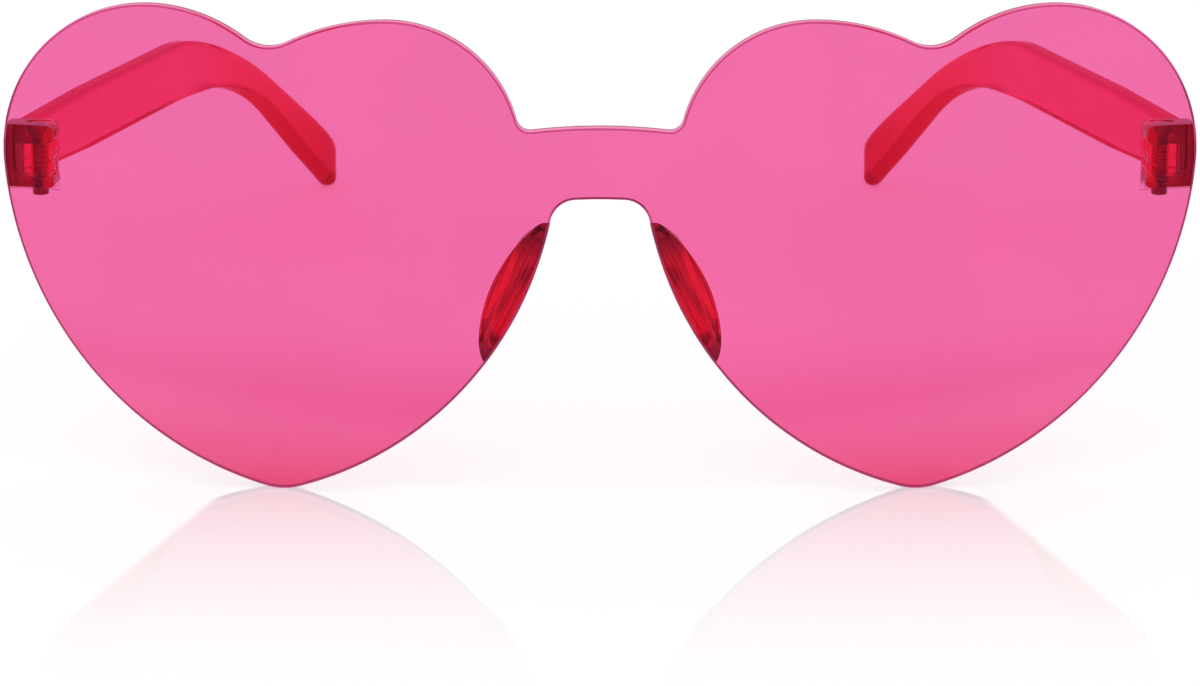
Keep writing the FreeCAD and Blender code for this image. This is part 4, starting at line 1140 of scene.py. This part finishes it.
def set_camera():
    """The photograph's view: from the front and a little above, through a long lens."""
    lens = bpy.data.cameras.new("front_view")
    lens.lens = FOCAL_LENGTH
    lens.sensor_width = SENSOR_WIDTH
    lens.clip_start = 0.01
    eye = place("front_view", lens)
    eye.location = (0, CAMERA_AIM_Y - CAMERA_DISTANCE * math.cos(CAMERA_PITCH),
                    CAMERA_AIM_Z + CAMERA_DISTANCE * math.sin(CAMERA_PITCH))
    eye.rotation_euler = (math.pi / 2 - CAMERA_PITCH, 0, 0)
    bpy.context.scene.camera = eye


# The glasses

# Painted light and shade on the shield by height: deeper near the heart tips, where its own pink shadow lies
# on the table behind it, and lighter near the top, where the table behind it is unshaded
SHIELD_PAINTED_LIGHT_AND_SHADE = [
    (0.0, (0.9, 0.36, 0.46)), (0.045, (0.92, 0.48, 0.58)), (0.117, (0.93, 0.58, 0.72)),
    (0.18, (0.955, 0.73, 0.81)), (0.27, (0.98, 0.88, 0.91)), (0.36, (1, 0.98, 0.98)),
    (0.6, (1, 0.98, 0.98)), (0.78, (1, 1.24, 1.09)), (1.0, (1, 1.24, 1.09)),
]
# Painted shade: the corner line grows darker towards the top of the shield
CORNER_PAINTED_SHADE = [(0.1, (1, 1, 1)), (0.9, (0.85, 0.5, 0.68))]
# Along the temple: deeper red at the knuckle, and deeper towards the ear end, partly the ear's own deeper
# tint and partly painted shade where the ear comes down to the table
ARM_TINT_AND_EAR_SHADE = [
    (0.0, (0.95, 0.28, 0.24)), (0.05, (1, 1, 1)), (0.6, (1, 1, 1)), (0.75, (1, 0.72, 0.64)),
    (0.9, (0.9, 0.4, 0.35)), (1.0, (0.74, 0.26, 0.23)),
]
# Painted shade on the arm's top and the ear's underside
ARM_PAINTED_EDGE_SHADE = [(0.08, (1, 1, 1)), (0.5, (0.68, 0.28, 0.36)), (1.0, (0.68, 0.15, 0.18))]
# Painted shade: the block darker towards its outer cheek
BLOCK_PAINTED_SHADE = [(0.42, (1, 1, 1)), (0.56, (0.65, 0.7, 0.7)), (0.85, (0.4, 0.6, 0.6))]
# Painted shade: the pads darker at both ends
PAD_PAINTED_END_SHADE = [(0.02, (0.15, 0.3, 0.3)), (0.22, (1, 1, 1)), (0.68, (1, 1, 1)), (0.78, (0.45, 0.5, 0.48))]

shield_tint = clear_plastic("pink_shield", (0.9, 0.16, 0.405), gloss=0.025, relief=0.002, grain=(40, 40, 40),
                            along=[("Object", "Z", 0.0, 0.06, SHIELD_PAINTED_LIGHT_AND_SHADE)])
edge_tint = clear_plastic("satin_cut_edge", (0.97, 0.38, 0.58), gloss=0.3, relief=0.25, grain=(500, 500, 500),
                          clear=0.6, bend=1.05)
# Painted shade along the rim: a deep corner line at the front and a dark back line behind the satin edge
corner_shade_tint = clear_plastic("painted_corner_shade", (0.8, 0.125, 0.35), gloss=0.2, relief=0.1,
                            grain=(500, 500, 500), clear=0.5, bend=1.05,
                            along=[("Object", "Z", 0.02, 0.05, CORNER_PAINTED_SHADE)])
back_shade_tint = clear_plastic("painted_back_shade", (0.4, 0.06, 0.16), gloss=0.3, relief=0.1,
                               grain=(500, 500, 500), clear=0.3, bend=1.05)
arm_tint = clear_plastic("rose_temple", (0.95, 0.205, 0.345), gloss=0.08, relief=0.02, grain=(320, 18, 320),
                         wall=0.0045, clear=0.93, face_share=0.8, bend=1.03,
                         along=[("UV", "X", 0.0, 1.0, ARM_TINT_AND_EAR_SHADE), ("UV", "Y", 0.0, 1.0, ARM_PAINTED_EDGE_SHADE)])
block_tint = clear_plastic("red_block", (0.77, 0.065, 0.085), gloss=0.02, relief=0.03, grain=(500, 500, 160),
                           wall=0.0031, clear=0.96, face_share=0.4, bend=1.15,
                           along=[("UV", "X", 0.0, 1.0, BLOCK_PAINTED_SHADE)])
pad_tint = clear_plastic("red_pad", (0.88, 0.105, 0.12), gloss=0.06, relief=0.04, grain=(300, 300, 300),
                         wall=0.0031, clear=0.94, face_share=0.7, bend=1.12, streaks=(1.3, 9.0, 1.0),
                         along=[("UV", "X", 0.0, 1.0, PAD_PAINTED_END_SHADE)])
glue_tint = clear_plastic("clear_glue", (0.99, 0.95, 0.97), gloss=0.04, relief=0.1, grain=(900, 900, 900),
                          wall=0.0005, bend=1.15)
sealer = clear_plastic("red_sealer", (0.43, 0.018, 0.023), gloss=0.25, relief=0.1, grain=(900, 900, 900),
                       clear=0.1)
screw_steel = turned_steel("burnished_steel")

make_shield([shield_tint, edge_tint, corner_shade_tint, back_shade_tint])
thread, bead = thread_tree(), bead_tree()
for name, side in SIDES.items():
    make_block(name, side, block_tint)
    make_screw(name, side, screw_steel, sealer, thread)
    make_glue(name, side, glue_tint, bead)
    make_temple(name, side, arm_tint)
    make_pad(name, side, pad_tint)

white_table()
light_studio()
set_camera()
bpy.context.scene.view_settings.view_transform = "Standard"
